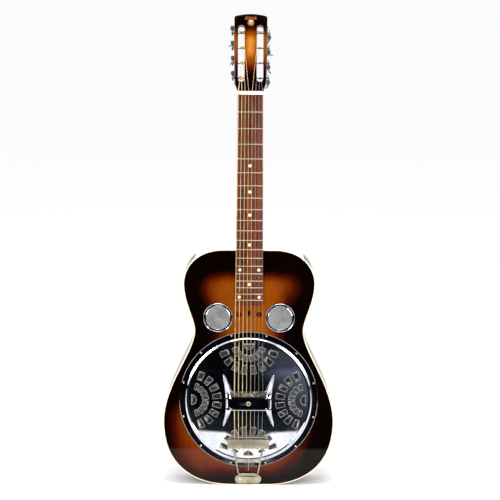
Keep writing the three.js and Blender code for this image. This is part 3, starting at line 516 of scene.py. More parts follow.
@dataclass(frozen=True)
class Details:
    """Finishes of small parts that have no slot of their own."""

    lip: Finish = Metal(
        "burnished lip", BURNISHED, 0.05, 0.00003, srgb(226, 227, 228), srgb(176, 174, 168), 0.12, 0.3
    )
    fret: Finish = Metal(
        "fret wire", WORN, 0.05, 0.00003, srgb(198, 190, 170), srgb(156, 146, 122), 0.2, 0.4
    )
    dot: Finish = Moulded(
        "pearl", {"Coat Weight": 0.3}, 0.03, 0.00005, srgb(248, 238, 176), srgb(222, 206, 140), 220
    )
    brass: Finish = Metal(
        "brass screw", METAL, 0.1, 0.00005, srgb(228, 216, 168), srgb(168, 150, 104), 0.25, 0.42
    )
    gilt: Finish = Metal("gilt", METAL, 0.08, 0.00005, srgb(214, 172, 92), srgb(150, 108, 52), 0.25, 0.4)
    enamel: Finish = Moulded("red enamel", ENAMEL, 0.03, 0.00005, srgb(142, 34, 22), srgb(96, 16, 12), 120)
    green: Finish = Moulded(
        "green enamel", ENAMEL, 0.03, 0.00005, srgb(150, 158, 92), srgb(92, 104, 58), 200
    )
    bronze_cloth: Finish = Metal(
        "bronze gauze", GAUZE, 0.1, 0.00005, srgb(74, 52, 34), srgb(40, 28, 20), 0.45, 0.6
    )


DETAILS = Details()


# -- modelling
class Shape:
    """A bmesh being modelled, in millimetres."""

    def __init__(self) -> None:
        """Starts empty."""
        self.bm = bmesh.new()

    def add(self, other: "Shape", place: Matrix | None = None) -> "Shape":
        """Joins another shape's mesh to this one.

        Args:
            other: the shape to add; it is left empty.
            place: where it goes.

        Returns:
            This shape.
        """
        if place is not None:
            bmesh.ops.transform(other.bm, matrix=place, verts=other.bm.verts[:])
        spare = bpy.data.meshes.new("spare")
        other.bm.to_mesh(spare)
        other.bm.free()
        self.bm.from_mesh(spare)
        bpy.data.meshes.remove(spare)
        return self

    def move(self, place: Matrix) -> "Shape":
        """Moves every vertex."""
        bmesh.ops.transform(self.bm, matrix=place, verts=self.bm.verts[:])
        return self

    def outward(self) -> "Shape":
        """Merges doubles and turns the faces out.

        Returns:
            The shape.
        """
        bmesh.ops.remove_doubles(self.bm, verts=self.bm.verts[:], dist=1e-4)
        bmesh.ops.recalc_face_normals(self.bm, faces=self.bm.faces[:])
        return self

    def close(self) -> "Shape":
        """Fills the holes."""
        bmesh.ops.holes_fill(self.bm, edges=[edge for edge in self.bm.edges if edge.is_boundary], sides=0)
        return self.outward()

    def split(self, at: Point, normal: Point, clear: bool = False) -> "Shape":
        """Divides every face where a plane meets it.

        Args:
            at: a place on the plane.
            normal: the way the plane faces.
            clear: whether what lies in front of it is removed.

        Returns:
            This shape.
        """
        everything = self.bm.verts[:] + self.bm.edges[:] + self.bm.faces[:]
        bmesh.ops.bisect_plane(self.bm, geom=everything, plane_co=at, plane_no=normal, clear_outer=clear)
        return self

    def spin(self, angle: float, steps: int, rise: float = 0.0) -> "Shape":
        """Sweeps the line round z.

        Args:
            angle: how far, in radians.
            steps: steps in all.
            rise: how far each step climbs; without it the ends meet.

        Returns:
            This shape.
        """
        bmesh.ops.spin(
            self.bm, geom=self.bm.verts[:] + self.bm.edges[:], cent=(0, 0, 0), axis=(0, 0, 1),
            dvec=(0, 0, rise), angle=angle, steps=steps, use_merge=not rise,
        )
        return self

    def soften(
        self, width: float, segments: int = 2, test: Callable[[Edge], bool] | None = None, angle: float = 30
    ) -> "Shape":
        """Rounds the sharp edges.

        Args:
            width: how far the rounding reaches.
            segments: steps in it.
            test: which edges it takes; all of them if None.
            angle: the least bend in degrees that counts as sharp.

        Returns:
            This shape.
        """
        sharp = [
            edge
            for edge in self.bm.edges
            if edge.is_manifold
            and edge.calc_face_angle(0) > radians(angle)
            and (test is None or test(edge))
        ]
        bmesh.ops.bevel(
            self.bm, geom=sharp, offset=width, segments=segments, profile=0.5, affect="EDGES",
            material=-1, clamp_overlap=True,
        )
        return self

    def cut(self, tools: "Shape") -> "Shape":
        """Cuts another shape's solids out of this one.

        Args:
            tools: the solids to remove; they are used up.

        Returns:
            This shape.
        """
        blank, cutter = (as_object(name, shape.bm) for name, shape in (("blank", self), ("cutter", tools)))
        modifier = blank.modifiers.new("cut", "BOOLEAN")
        modifier.operation, modifier.solver, modifier.object = "DIFFERENCE", "EXACT", cutter
        modifier.use_self = False
        seen = blank.evaluated_get(bpy.context.evaluated_depsgraph_get())
        self.bm.clear()
        self.bm.from_mesh(seen.to_mesh())
        for spare in (blank, cutter):
            mesh = spare.data
            bpy.data.objects.remove(spare)
            bpy.data.meshes.remove(mesh)
        return self


def as_object(name: str, bm: bmesh.types.BMesh) -> bpy.types.Object:
    """Makes an object of a bmesh.

    Args:
        name: the object's name.
        bm: the mesh.

    Returns:
        The object, in the scene.
    """
    mesh = bpy.data.meshes.new(name)
    bm.to_mesh(mesh)
    made = bpy.data.objects.new(name, mesh)
    bpy.context.scene.collection.objects.link(made)
    return made


def block(low: Point, high: Point, rounding: float = 0.0, segments: int = 2) -> Shape:
    """A box between two corners.

    Args:
        low: the lowest corner.
        high: the highest corner.
        rounding: how far its edges are rounded.
        segments: steps in the rounding.

    Returns:
        The shape.
    """
    shape = Shape()
    bmesh.ops.create_cube(shape.bm, size=1.0)
    size = [b - a for a, b in zip(low, high)]
    middle = [(a + b) / 2 for a, b in zip(low, high)]
    shape.move(Matrix.Translation(middle) @ Matrix.Diagonal((*size, 1)))
    return shape.soften(rounding, segments) if rounding else shape


def bar(radius: float, low: float, high: float, segments: int = 24, top: float | None = None) -> Shape:
    """A round bar along z.

    Args:
        radius: its radius at the low end.
        low: its lower end.
        high: its upper end.
        segments: sides.
        top: its radius at the high end, if that differs.

    Returns:
        The shape.
    """
    shape = Shape()
    bmesh.ops.create_cone(
        shape.bm, cap_ends=True, segments=segments, radius1=radius,
        radius2=radius if top is None else top, depth=high - low, matrix=shift(0, 0, (low + high) / 2),
    )
    return shape


def running(axis: int) -> Callable[[Edge], bool]:
    """Makes a test for the edges that run along an axis, 0 for x to 2 for z."""
    return lambda edge: abs(edge.verts[0].co[axis] - edge.verts[1].co[axis]) > 1


def line(points: Iterable[Sequence[float]], closed: bool = False) -> Shape:
    """A few vertices joined by edges.

    Args:
        points: where they are.
        closed: whether the last joins the first.

    Returns:
        The shape.
    """
    shape = Shape()
    verts = [shape.bm.verts.new(point) for point in points]
    for first, second in zip(verts, verts[1:] + (verts[:1] if closed else [])):
        shape.bm.edges.new((first, second))
    return shape


def sheet(points: Iterable[Sequence[float]]) -> Shape:
    """Fills a closed line with one flat face.

    Args:
        points: the line's corners, in order.

    Returns:
        The shape.
    """
    shape = line(points, closed=True)
    bmesh.ops.contextual_create(shape.bm, geom=shape.bm.edges[:])
    return shape


def thicken(shape: Shape, travel: Point) -> Shape:
    """Extrudes a flat sheet into a solid.

    Args:
        shape: the sheet.
        travel: how far its copy moves.

    Returns:
        The same shape, closed.
    """
    made = bmesh.ops.extrude_face_region(shape.bm, geom=shape.bm.faces[:], use_keep_orig=True)
    verts = [item for item in made["geom"] if isinstance(item, bmesh.types.BMVert)]
    bmesh.ops.translate(shape.bm, vec=travel, verts=verts)
    return shape.outward()


def turned(profile: Sequence[tuple[float, float]], steps: int, closed: bool = True) -> Shape:
    """Spins a profile of radius and z round z, in so many steps; a closed one ends where it starts."""
    return line([(radius, 0, z) for radius, z in profile], closed).spin(2 * pi, steps).outward()


def coil(radius: float, wire: float, pitch: float, turns: float, steps: int = 20, sides: int = 6) -> Shape:
    """A wire wound round z.

    Args:
        radius: from the axis to the middle of the wire.
        wire: the wire's radius.
        pitch: rise in a turn.
        turns: how many turns.
        steps: steps in a turn.
        sides: sides of the wire.

    Returns:
        The shape, starting at z = 0.
    """
    shape = Shape()
    place = shift(radius, 0, 0) @ turn(radians(90), "X")
    bmesh.ops.create_circle(shape.bm, cap_ends=False, segments=sides, radius=wire, matrix=place)
    return shape.spin(2 * pi * turns, round(turns * steps), pitch / steps).close()


def wire(points: Sequence[Vector], radius: float, sides: int = 10, closed: bool = False) -> Shape:
    """A round wire through points.

    Args:
        points: the middle of the wire.
        radius: its radius.
        sides: its sides.
        closed: whether its end joins its start.

    Returns:
        The shape, with closed ends.
    """
    curve = bpy.data.curves.new("wire", "CURVE")
    curve.dimensions = "3D"
    curve.bevel_depth = radius
    curve.bevel_resolution = max(0, sides // 4 - 1)
    curve.use_fill_caps = True
    spline = curve.splines.new("POLY")
    spline.points.add(len(points) - 1)
    spline.use_cyclic_u = closed
    for mark, point in zip(spline.points, points):
        mark.co = (*point, 1)
    made = bpy.data.objects.new("wire", curve)
    shape = Shape()
    shape.bm.from_mesh(made.to_mesh())
    bpy.data.objects.remove(made)
    bpy.data.curves.remove(curve)
    return shape.outward()


def rounded(points: Sequence[Point], radius: float, steps: int = 6) -> list[Vector]:
    """A route whose inner corners are rounded.

    Args:
        points: its corners.
        radius: how far from a corner the rounding starts.
        steps: steps in a rounding.

    Returns:
        The points of the route.
    """
    corners = [Vector(point) for point in points]
    route = [corners[0]]
    for before, corner, after in zip(corners, corners[1:], corners[2:]):
        back, ahead = before - corner, after - corner
        reach = min(radius, back.length * 0.8, ahead.length * 0.5)
        start, end = corner + back.normalized() * reach, corner + ahead.normalized() * reach
        pulls = [point.lerp(corner, PULL) for point in (start, end)]
        route += geometry.interpolate_bezier(start, *pulls, end, steps)
    return route + [corners[-1]]


def crowned(end: Vector, cuts: int, rise: Callable[[float], float]) -> Shape:
    """A line from one end to its mirror image, bent up in z.

    Args:
        end: its end.
        cuts: how many places divide it.
        rise: height by the share of the way from the middle to an end.

    Returns:
        The shape.
    """
    shape = line([-end, end])
    bmesh.ops.subdivide_edges(shape.bm, edges=shape.bm.edges[:], cuts=cuts)
    for vert in shape.bm.verts:
        vert.co.z = rise(vert.co.length / end.length)
    return shape


def strap(section: Shape, stations: Sequence[Matrix], thickness: float) -> Shape:
    """Draws a line of edges through stations and gives it thickness.

    Args:
        section: the line, in its own plane.
        stations: where it stands at each step.
        thickness: of the finished sheet.

    Returns:
        The shape.
    """
    section.move(stations[0])
    edges = section.bm.edges[:]
    for last, station in zip(stations, stations[1:]):
        made = bmesh.ops.extrude_edge_only(section.bm, edges=edges)["geom"]
        verts = [item for item in made if isinstance(item, bmesh.types.BMVert)]
        edges = [item for item in made if isinstance(item, Edge)]
        bmesh.ops.transform(section.bm, matrix=station @ last.inverted(), verts=verts)
    bmesh.ops.recalc_face_normals(section.bm, faces=section.bm.faces[:])
    if sum(face.normal.z for face in section.bm.faces) < 0:
        bmesh.ops.reverse_faces(section.bm, faces=section.bm.faces[:])
    bmesh.ops.solidify(section.bm, geom=section.bm.faces[:], thickness=thickness)
    return section.outward()


def slotted_head(radius: float, height: float, slot: float = 0.7) -> Shape:
    """A domed screw head with a slot, standing on z = 0.

    Args:
        radius: of the head.
        height: of the head.
        slot: width of the slot.

    Returns:
        The shape.
    """
    dome = [(0, height), (radius * 0.55, height * 0.92), (radius * 0.88, height * 0.6), (radius, 0), (0, 0)]
    head = turned(dome, 20)
    return head.cut(block((-slot / 2, -2 * radius, height * 0.45), (slot / 2, 2 * radius, 2 * height)))


class Workshop:
    """Turns shapes into finished pieces of the guitar."""

    def __init__(self, packed: dict) -> None:
        """Starts without a material.

        Args:
            packed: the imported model, by its nodes' names.
        """
        self.packed = packed
        self.effects = Effects()
        self.made: dict[str, bpy.types.Material] = {}

    def material(self, finish: Finish) -> bpy.types.Material:
        """A finish's material, made once.

        Args:
            finish: the finish.

        Returns:
            Its material.
        """
        if finish.name not in self.made:
            self.made[finish.name] = finish.material(self.effects)
        return self.made[finish.name]

    def dress(self, node: str, finish: Finish) -> None:
        """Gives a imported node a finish."""
        for place in self.packed[node].material_slots:
            place.material = self.material(finish)

    def piece(
        self, name: str, shape: Shape, slot: Slot, body: str = Carrier.INSTRUMENT.value,
        home: Matrix = BENCH, replaces: Sequence[str] = (), finish: Finish | None = None,
        burst: Callable[[Vector], float] | None = None, crease: float = 32,
    ) -> bpy.types.Object:
        """Makes a finished piece.

        Args:
            name: its name.
            shape: its shape, in millimetres; it is used up.
            slot: the material slot it takes its finish from.
            body: the body it rides on.
            home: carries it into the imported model's frame.
            replaces: the nodes it stands for.
            finish: its own finish, if not the slot's.
            burst: the stain's share at a place in the shape's frame.
            crease: the least bend in degrees that shows as an edge.

        Returns:
            The piece.
        """
        if burst is not None:
            layer = shape.bm.verts.layers.float.new("burst")
            for vert in shape.bm.verts:
                vert[layer] = burst(vert.co)
        shape.move(home)
        for face in shape.bm.faces:
            face.smooth = True
        made = as_object(name, shape.bm)
        shape.bm.free()
        made.data.set_sharp_from_angle(angle=radians(crease))
        made.data.materials.append(self.material(finish or FINISHES[slot]))
        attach(made, body)
        if replaces:
            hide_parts(*replaces)
        LOG.info("%s: %d faces, on %s", name, len(made.data.polygons), body)
        return made


# -- body
@dataclass(frozen=True)
class Outline:
    """The body's outline, from its bouts and waist."""

    length: float = 500.0
    tail_flat: float = 76.0
    shoulder_flat: float = 100.0
    lower_bout: float = 356.0
    waist: float = 226.6
    upper_bout: float = 272.8
    lower_y: float = 136.0
    waist_y: float = 330.0
    upper_y: float = 428.0
    steps: int = 26

    def side(self) -> list[Vector]:
        """The treble side from the tail to the shoulders.

        Returns:
            Its points.
        """
        knots = [
            Vector((self.tail_flat / 2, 0)), Vector((self.lower_bout / 2, self.lower_y)),
            Vector((self.waist / 2, self.waist_y)), Vector((self.upper_bout / 2, self.upper_y)),
            Vector((self.shoulder_flat / 2, self.length)),
        ]
        across, along = Vector((1, 0)), Vector((0, 1))
        bends = [(0.58, 0.67), (0.4, 0.225), (0.235, 0.4), (0.36, 0.8)]
        leaves = [across, along, along, along]
        arrives = [along, along, along, across]
        points: list[Vector] = []
        for index, (first, second) in enumerate(bends):
            start, end = knots[index], knots[index + 1]
            span = end - start
            near = start + span * leaves[index] * first
            far = end - span * arrives[index] * second
            curve = geometry.interpolate_bezier(start, near, far, end, self.steps)
            points += curve[1:] if index else curve
        return [point.to_2d() for point in points]

    def loop(self, z: float) -> list[Point]:
        """The whole outline.

        Args:
            z: its height.

        Returns:
            Its points, from the tail up the treble side.
        """
        side = self.side()
        bass = [(-point.x, point.y) for point in reversed(side)]
        return [(x, y, z) for x, y in [tuple(point) for point in side] + bass]

    def distance(self) -> Callable[[float, float], float]:
        """Makes a gauge of how far a place is from the edge.

        Returns:
            A function of x and y.
        """
        loop = [Vector(point) for point in self.loop(0.0)]
        fine = [a.lerp(b, i / 8) for a, b in zip(loop, loop[1:] + loop[:1]) for i in range(8)]
        tree = kdtree.KDTree(len(fine))
        for index, point in enumerate(fine):
            tree.insert(point, index)
        tree.balance()
        return lambda x, y: tree.find((x, y, 0.0))[2]


@dataclass
class Body:
    """The wooden box: plates, sides and binding."""

    outline: Outline = field(default_factory=Outline)
    depth: float = 85.0
    plate: float = 4.0
    rib: float = 3.0
    binding: float = 2.0
    binding_height: float = 5.5
    cone_hole: float = 136.0
    screen_x: float = 64.2
    screen_y: float = 357.7
    screen_hole: float = 26.9
    port_radius: float = 5.5
    ports: tuple = ((-20.8, 364.5), (0.0, 367.0), (20.8, 364.5))
    grid: float = 9.0
    side_levels: tuple = (0.15, 0.35, 0.5, 0.65, 0.85)
    inlay_half: float = 4.0
    inlay_gap: float = 0.15
    inner_wood: tuple = (
        "front_lining", "back_lining", "neck_block", "tail_block", "neck_stick", "top_brace",
        "back_brace", "soundwell",
    )

    @staticmethod
    def _inset(shape: Shape, width: float) -> list[bmesh.types.BMFace]:
        """Insets a sheet's one face.

        Args:
            shape: the sheet.
            width: how far the new edge is from the old one.

        Returns:
            The faces between the two edges.
        """
        made = bmesh.ops.inset_region(
            shape.bm, faces=shape.bm.faces[:], thickness=width, use_boundary=True, use_even_offset=True
        )
        shape.bm.faces.ensure_lookup_table()
        return made["faces"]

    def ring(self, low: float, high: float, width: float) -> Shape:
        """A wall that follows the outline.

        Args:
            low: its lower edge.
            high: its upper edge.
            width: its thickness.

        Returns:
            The shape.
        """
        shape = sheet(self.outline.loop(high))
        self._inset(shape, width)
        bmesh.ops.delete(shape.bm, geom=shape.bm.faces[:1], context="FACES_ONLY")
        return thicken(shape, (0, 0, low - high))

    def panel(self, high: float) -> Shape:
        """One plate inside its binding, cut into a grid so that its stain can vary.

        Args:
            high: its upper face.

        Returns:
            The shape.
        """
        shape = sheet(self.outline.loop(high))
        edge = self._inset(shape, self.binding + GAP)
        bmesh.ops.delete(shape.bm, geom=edge, context="FACES")
        half = self.outline.lower_bout / 2
        for x in self._marks(-half, half):
            shape.split((x, 0, 0), (1, 0, 0))
        for y in self._marks(0, self.outline.length):
            shape.split((0, y, 0), (0, 1, 0))
        return thicken(shape, (0, 0, -self.plate))

    def _marks(self, low: float, high: float) -> list[float]:
        """Evenly spaced places between two ends."""
        count = int((high - low) / self.grid)
        return [low + (high - low) * (i + 0.5) / count for i in range(count)]

    def top(self) -> Shape:
        """The top plate with its openings.

        Returns:
            The shape.
        """
        tools = bar(self.cone_hole, -THROUGH, THROUGH, 96).move(shift(0, CONE_Y, 0))
        for side in (-1, 1):
            hole = bar(self.screen_hole, -THROUGH, THROUGH, 48)
            tools.add(hole, shift(side * self.screen_x, self.screen_y, 0))
        for x, y in self.ports:
            tools.add(bar(self.port_radius, -THROUGH, THROUGH, 32), shift(x, y, 0))
        return self.panel(0.0).cut(tools)

    def build(self, shop: Workshop) -> None:
        """Makes the pieces.

        Args:
            shop: finishes them.
        """
        gauge = self.outline.distance()

        def stain(place: Vector) -> float:
            """The plates' stain: dark round the edge, wider across the shoulders and the waist.

            Args:
                place: in the bench frame.

            Returns:
                A share from 0, black, to 1, gold.
            """
            reach = gauge(place.x, place.y)
            shoulders = 34 * fade(415, 490, place.y)
            waist = 10 * fade(90, 30, abs(place.y - self.outline.waist_y))
            low = 10 * fade(90, 40, place.y)
            # Lighter on the bass side of the lower bout and darker on the treble side.
            lean = 13 * fade(30, 130, abs(place.x)) * fade(190, 150, place.y)
            bass_treble_shift = 1.5 * lean if place.x < 0 else -lean
            share = fade(10, 78, reach - shoulders - waist + low + bass_treble_shift + 4)
            return 0.08 + (0.52 + 0.12 * fade(85, 25, abs(place.x))) * share

        def side_stain(place: Vector) -> float:
            """The sides' stain: dark at both edges, red brown between."""
            middle = 1 - abs(place.z + self.depth / 2) / (self.depth / 2)
            return 0.1 + 0.34 * fade(0.1, 0.9, middle)

        shop.piece("top", self.top(), Slot.SUNBURST, replaces=["top_plate"], burst=stain)
        back = self.panel(-self.depth + self.plate)
        shop.piece("back", back, Slot.SUNBURST, replaces=["back_plate"], burst=stain)
        low, high = -self.depth + self.binding_height + GAP, -self.binding_height - GAP
        sides = self.ring(low, high, self.rib)
        for share in self.side_levels:
            sides.split((0, 0, low + (high - low) * share), (0, 0, 1))
        reach = self.inlay_half + self.inlay_gap
        sides.cut(block((-reach, -1, low - 1), (reach, 5, high + 1)))
        shop.piece("sides", sides, Slot.SUNBURST, replaces=["rib_bass", "rib_treble"], burst=side_stain)
        strip = block((-self.inlay_half, 0.02, low), (self.inlay_half, self.rib, high), 0.5)
        shop.piece("tail_inlay", strip, Slot.BINDING, replaces=["tail_strip"])
        for name, foot in (("front", -self.binding_height), ("back", -self.depth)):
            ring = self.ring(foot, foot + self.binding_height, self.binding)
            ring.soften(0.45, 2, angle=60)
            shop.piece(name + "_edging", ring, Slot.BINDING, replaces=[name + "_binding"])
        for node in self.inner_wood:
            shop.dress(node, FINISHES[Slot.INNER])


def gauze(radius: float, pitch: float, thick: float, z: float) -> Shape:
    """A round piece of wire cloth.

    Args:
        radius: of the piece.
        pitch: between wires.
        thick: of a wire.
        z: the middle of the cloth.

    Returns:
        The shape: two layers of wires that cross.
    """
    shape = Shape()
    count = int(radius / pitch)
    for bias in (45, 135):
        for index in range(-count, count + 1):
            x = index * pitch
            half = sqrt(max(radius**2 - x**2, thick**2))
            height = z + (thick / 2 if bias > 90 else -thick / 2)
            bmesh.ops.create_cone(
                shape.bm,
                cap_ends=True,
                segments=4,
                radius1=thick / 2,
                radius2=thick / 2,
                depth=2 * half,
                matrix=turn(radians(bias))
                @ shift(x, 0, height)
                @ turn(radians(90), "X"),
            )
    return shape


@dataclass
class Screens:
    """The two chromed screens, and the gauze behind the outer ports."""

    radius: float = 30.5
    sleeve: float = 26.6
    lip: float = 24.4
    height: float = 3.4
    mesh_radius: float = 25.2
    cloth: tuple = (1.25, 0.62, 1.2)  # pitch, wire and height
    port_cloth: tuple = (0.8, 0.4, -2.2)

    def ring(self) -> Shape:
        """A screen's ring: a rounded bead that rolls down inside to hold the cloth.

        Returns:
            The shape.
        """
        top, wide, lip, sleeve = self.height, self.radius, self.lip, self.sleeve
        cloth = self.mesh_radius + GAP
        profile = [
            (wide, GAP), (wide, 1.5), (wide - 0.2, 2.4), (wide - 0.6, 3.1),
            (wide - 1.1, top), (wide - 1.6, 3.2), (wide - 1.9, 2.7),
            (lip + 1.2, 2.5), (lip + 1.0, 2.8), (lip + 0.6, 2.9), (lip + 0.2, 2.6),
            (lip, 1.8), (cloth, 1.8), (cloth, -4.0),
            (sleeve, -4.0), (sleeve, GAP),
        ]
        return turned(profile, 160)

    def build(self, shop: Workshop, body: Body) -> None:
        """Makes the pieces.

        Args:
            shop: finishes them.
            body: the box they are set in.
        """
        for side, name in ((-1, "bass"), (1, "treble")):
            place = shift(side * body.screen_x, body.screen_y, 0)
            ring = self.ring().move(place)
            shop.piece(f"screen_bezel_{name}", ring, Slot.CHROME, replaces=[f"screen_ring_{name}"])
            cloth = gauze(self.mesh_radius, *self.cloth).move(place)
            shop.piece(f"screen_cloth_{name}", cloth, Slot.SCREEN, replaces=[f"screen_mesh_{name}"])
            x, y = body.ports[0 if side < 0 else 2]
            screen = gauze(body.port_radius - GAP, *self.port_cloth).move(shift(x, y, 0))
            shop.piece(f"port_gauze_{name}", screen, Slot.SCREEN, finish=DETAILS.bronze_cloth)


# -- resonator
@dataclass
class Resonator:
    """The cone, its bridge, the pierced coverplate and the hand rest."""

    cone_radius: float = 133.4
    cover_radius: float = 144.0
    dome_radius: float = 126.0
    thick: float = 1.2
    dome_edge: float = 3.6
    crown: float = 8.0
    slot: tuple = (38.0, 20.0)
    fan_reach: float = 119.0
    fan_radius: float = 63.0
    fan_count: int = 8
    fan_pitch: float = 19.6
    fan_rows: tuple = ((0.365, 0.571, 0.083, 0.127), (0.714, 1.0, 0.149, 0.19))
    eye_radius: float = 10.8
    screw_circle: float = 140.0
    rest_half: float = 48.0
    rest_length: float = 29.0
    rest_height: float = 36.6
    sheet: float = 1.5
    foot: tuple = (52.0, 54.0)
    bar_half: float = 36.0
    saddle_top: float = 23.4
    saddle_thick: float = 3.2
    saddle_ends: tuple = (3.4, 33.0)
    screw_count: int = 12
    lip_wire: float = 0.55
    lip_sink: float = 0.25
    leg_steps: int = 22
    middle: Matrix = field(default_factory=lambda: shift(0, CONE_Y, 0))

    def dome_z(self, radius: float) -> float:
        """Height of the coverplate's face at a distance from its middle."""
        return self.dome_edge + self.crown * (1 - (radius / self.dome_radius) ** 2)

    def cone(self) -> Shape:
        """The spun cone: a rim, a deep valley and a crown in the middle.

        Returns:
            The shape.
        """
        ledge = -4.0
        profile = [(2.8, -5), (12, -5), (13.5, -5.6), (60, -25.4), (62, -26), (64, -25.3), (126, -0.9)]
        profile += [(128.4, 0), (self.cone_radius, 0)]
        shape = turned([(radius, ledge + 1 + z) for radius, z in profile], 96, closed=False)
        return self._walled(shape, 1.0)

    @staticmethod
    def _walled(shape: Shape, thickness: float) -> Shape:
        """Gives an upward-facing sheet a wall below it.

        Args:
            shape: the sheet.
            thickness: of the wall.

        Returns:
            The same shape, closed.
        """
        if sum(face.normal.z * face.calc_area() for face in shape.bm.faces) < 0:
            bmesh.ops.reverse_faces(shape.bm, faces=shape.bm.faces[:])
        bmesh.ops.solidify(shape.bm, geom=shape.bm.faces[:], thickness=thickness)
        return shape.outward()

    def spider(self) -> Shape:
        """The cast bridge: a hub, eight ribbed legs and a slotted bar.

        Returns:
            The shape.
        """
        hub_top = 9.0
        spider = bar(16, hub_top - 14, hub_top, 40).soften(0.8, 2).cut(bar(2.8, -20, 20, 24))
        for index in range(8):
            leg = block((10, -3, -1.2), (131.5, 3, 1.2))
            outer = [vert for vert in leg.bm.verts if vert.co.x > 100]
            bmesh.ops.scale(leg.bm, vec=(1, 0.7, 0.8), verts=outer)
            bmesh.ops.translate(leg.bm, vec=(0, 0, -8.2), verts=outer)
            rib = block((10, -0.9, -3.4), (120, 0.9, 0))
            bmesh.ops.translate(rib.bm, vec=(0, 0, -5.6), verts=[v for v in rib.bm.verts if v.co.x > 100])
            leg.add(rib).soften(0.5, 2)
            place = turn(radians(22.5 + 45 * index)) @ shift(0, 0, 4.8)
            spider.add(leg, place)
        beam = block((-self.bar_half, -4.5, 3), (self.bar_half, 4.5, 14), 0.8)
        beam.cut(block((-80, -1.9, 9), (80, 1.9, 30))).cut(bar(3.4, -10, 30, 24))
        return spider.add(beam)

    def saddle(self, side: int, spacing: float) -> Shape:
        """One half of the saddle, with a notch under each of its strings.

        Args:
            side: 1 on the treble side, -1 on the bass side.
            spacing: between strings.

        Returns:
            The shape.
        """
        near, far = sorted(side * end for end in self.saddle_ends)
        half = self.saddle_thick / 2
        saddle = block((near, -half, 9.3), (far, half, self.saddle_top), 0.5)
        tools = Shape()
        for index in range(4):
            notch = bar(0.45, -4, 4, 10).move(turn(radians(90), "X"))
            tools.add(notch, shift(side * (index + 0.5) * spacing, 0, self.saddle_top))
        return saddle.cut(tools)

    def _centres(self) -> list[Matrix]:
        """Where the four fans' centres stand."""
        return [turn(side * pi / 2) @ shift(self.fan_reach, 0, 0) for side in range(4)]

    def _fan(self, centre: Matrix) -> list[tuple[Matrix, tuple]]:
        """The place and the sizes of every opening round a fan's centre."""
        angles = [radians((i - (self.fan_count - 1) / 2) * self.fan_pitch) for i in range(self.fan_count)]
        return [(centre @ turn(pi + angle), row) for row in self.fan_rows for angle in angles]

    def fans(self) -> Shape:
        """The tools that pierce the coverplate: four fans of openings, each with an eye.

        Returns:
            The shape.
        """
        tools = Shape()
        for centre in self._centres():
            for place, row in self._fan(centre):
                tools.add(self._opening(*row), place)
            eye = bar(self.eye_radius, -5, 20, 32)
            tools.add(eye.split((0, 0, 0), (1, 0, 0), clear=True).close(), centre)
        return tools

    def _opening(self, inner: float, outer: float, inner_width: float, outer_width: float) -> Shape:
        """One opening of a fan, along x from the fan's centre.

        Args:
            inner: share of the fan's radius where it starts.
            outer: share where it ends.
            inner_width: its width there, as a share.
            outer_width: its width at its far end, as a share.

        Returns:
            The shape.
        """
        tool = block((inner * self.fan_radius, -0.5, -5), (outer * self.fan_radius, 0.5, 20))
        middle = (inner + outer) / 2 * self.fan_radius
        for vert in tool.bm.verts:
            vert.co.y *= self.fan_radius * (outer_width if vert.co.x > middle else inner_width)
        return tool.soften(0.9, 3, running(2))

    def cover(self) -> Shape:
        """The pierced coverplate: flange, rolled bead and shallow dome.

        Returns:
            The shape.
        """
        profile = [
            (self.cover_radius, 1.0), (self.cover_radius, 1.9), (self.cover_radius - 0.5, 2.2),
            (self.cover_radius - 1.2, 2.16), (133.4, 1.5), (132.6, 1.5), (131.6, 1.75), (130.6, 2.5),
            (129.8, 3.4), (128.8, 4.1), (127.6, 4.3), (126.6, 4.2), (126.0, 3.9),
        ]
        profile += [(r, self.dome_z(r)) for r in (125.2, 124.2, 122.0, *range(120, -1, -5))]
        plate = self._walled(turned(profile, 144, closed=False), self.thick)
        x, y = self.slot
        tools = self.fans()
        tools.add(block((-x, -y, -5), (x, y, 30)).soften(2, 3, running(2)))
        return plate.cut(tools)

    def lips(self) -> Shape:
        """The rolled edges of every opening in the cover.

        Returns:
            The shape.
        """
        x, y = self.slot
        edges = self._lip([(-x, -y), (x, -y), (x, y), (-x, y)], Matrix.Identity(4))
        for centre in self._centres():
            arc = [(self.eye_radius * cos(a), self.eye_radius * sin(a)) for a in self._half_turn()]
            edges.add(self._lip(arc, centre))
            for place, row in self._fan(centre):
                edges.add(self._lip(self._corners(*row), place))
        return edges

    @staticmethod
    def _half_turn() -> list[float]:
        """Angles from 90 to 270 degrees, through the side that faces the middle."""
        return [pi / 2 + pi * step / 12 for step in range(13)]

    def _corners(self, inner: float, outer: float, inner_width: float, outer_width: float) -> list:
        """One opening's corners; Args are those of _opening.

        Returns:
            Four places across the plate.
        """
        near, far = inner * self.fan_radius, outer * self.fan_radius
        narrow, wide = inner_width * self.fan_radius / 2, outer_width * self.fan_radius / 2
        return [(near, -narrow), (far, -wide), (far, wide), (near, narrow)]

    def _lip(self, corners: Sequence[tuple[float, float]], place: Matrix) -> Shape:
        """The rolled edge of an opening.

        Args:
            corners: of the opening, in order round it.
            place: where the opening is in the plate.

        Returns:
            The shape.
        """
        flat = [place @ Vector((x, y, 0)) for x, y in corners]
        middle = (flat[-1] + flat[0]) / 2
        route = rounded([middle, *flat, middle], 0.9 if len(corners) < 5 else 0.2, 3)[:-1]
        path = [Vector((p.x, p.y, self.dome_z(hypot(p.x, p.y)) - self.lip_sink)) for p in route]
        return wire(path, self.lip_wire, 8, closed=True)

    def cover_screws(self) -> Shape:
        """The twelve screws of the flange.

        Returns:
            The shape.
        """
        screws = Shape()
        for index in range(self.screw_count):
            angle = 2 * pi * (index + 0.5) / self.screw_count
            head = slotted_head(2.1, 1.1, 0.5).move(turn(index * 2.3))
            at = (self.screw_circle * cos(angle), self.screw_circle * sin(angle), 1.95)
            screws.add(head, Matrix.Translation(at))
        return screws

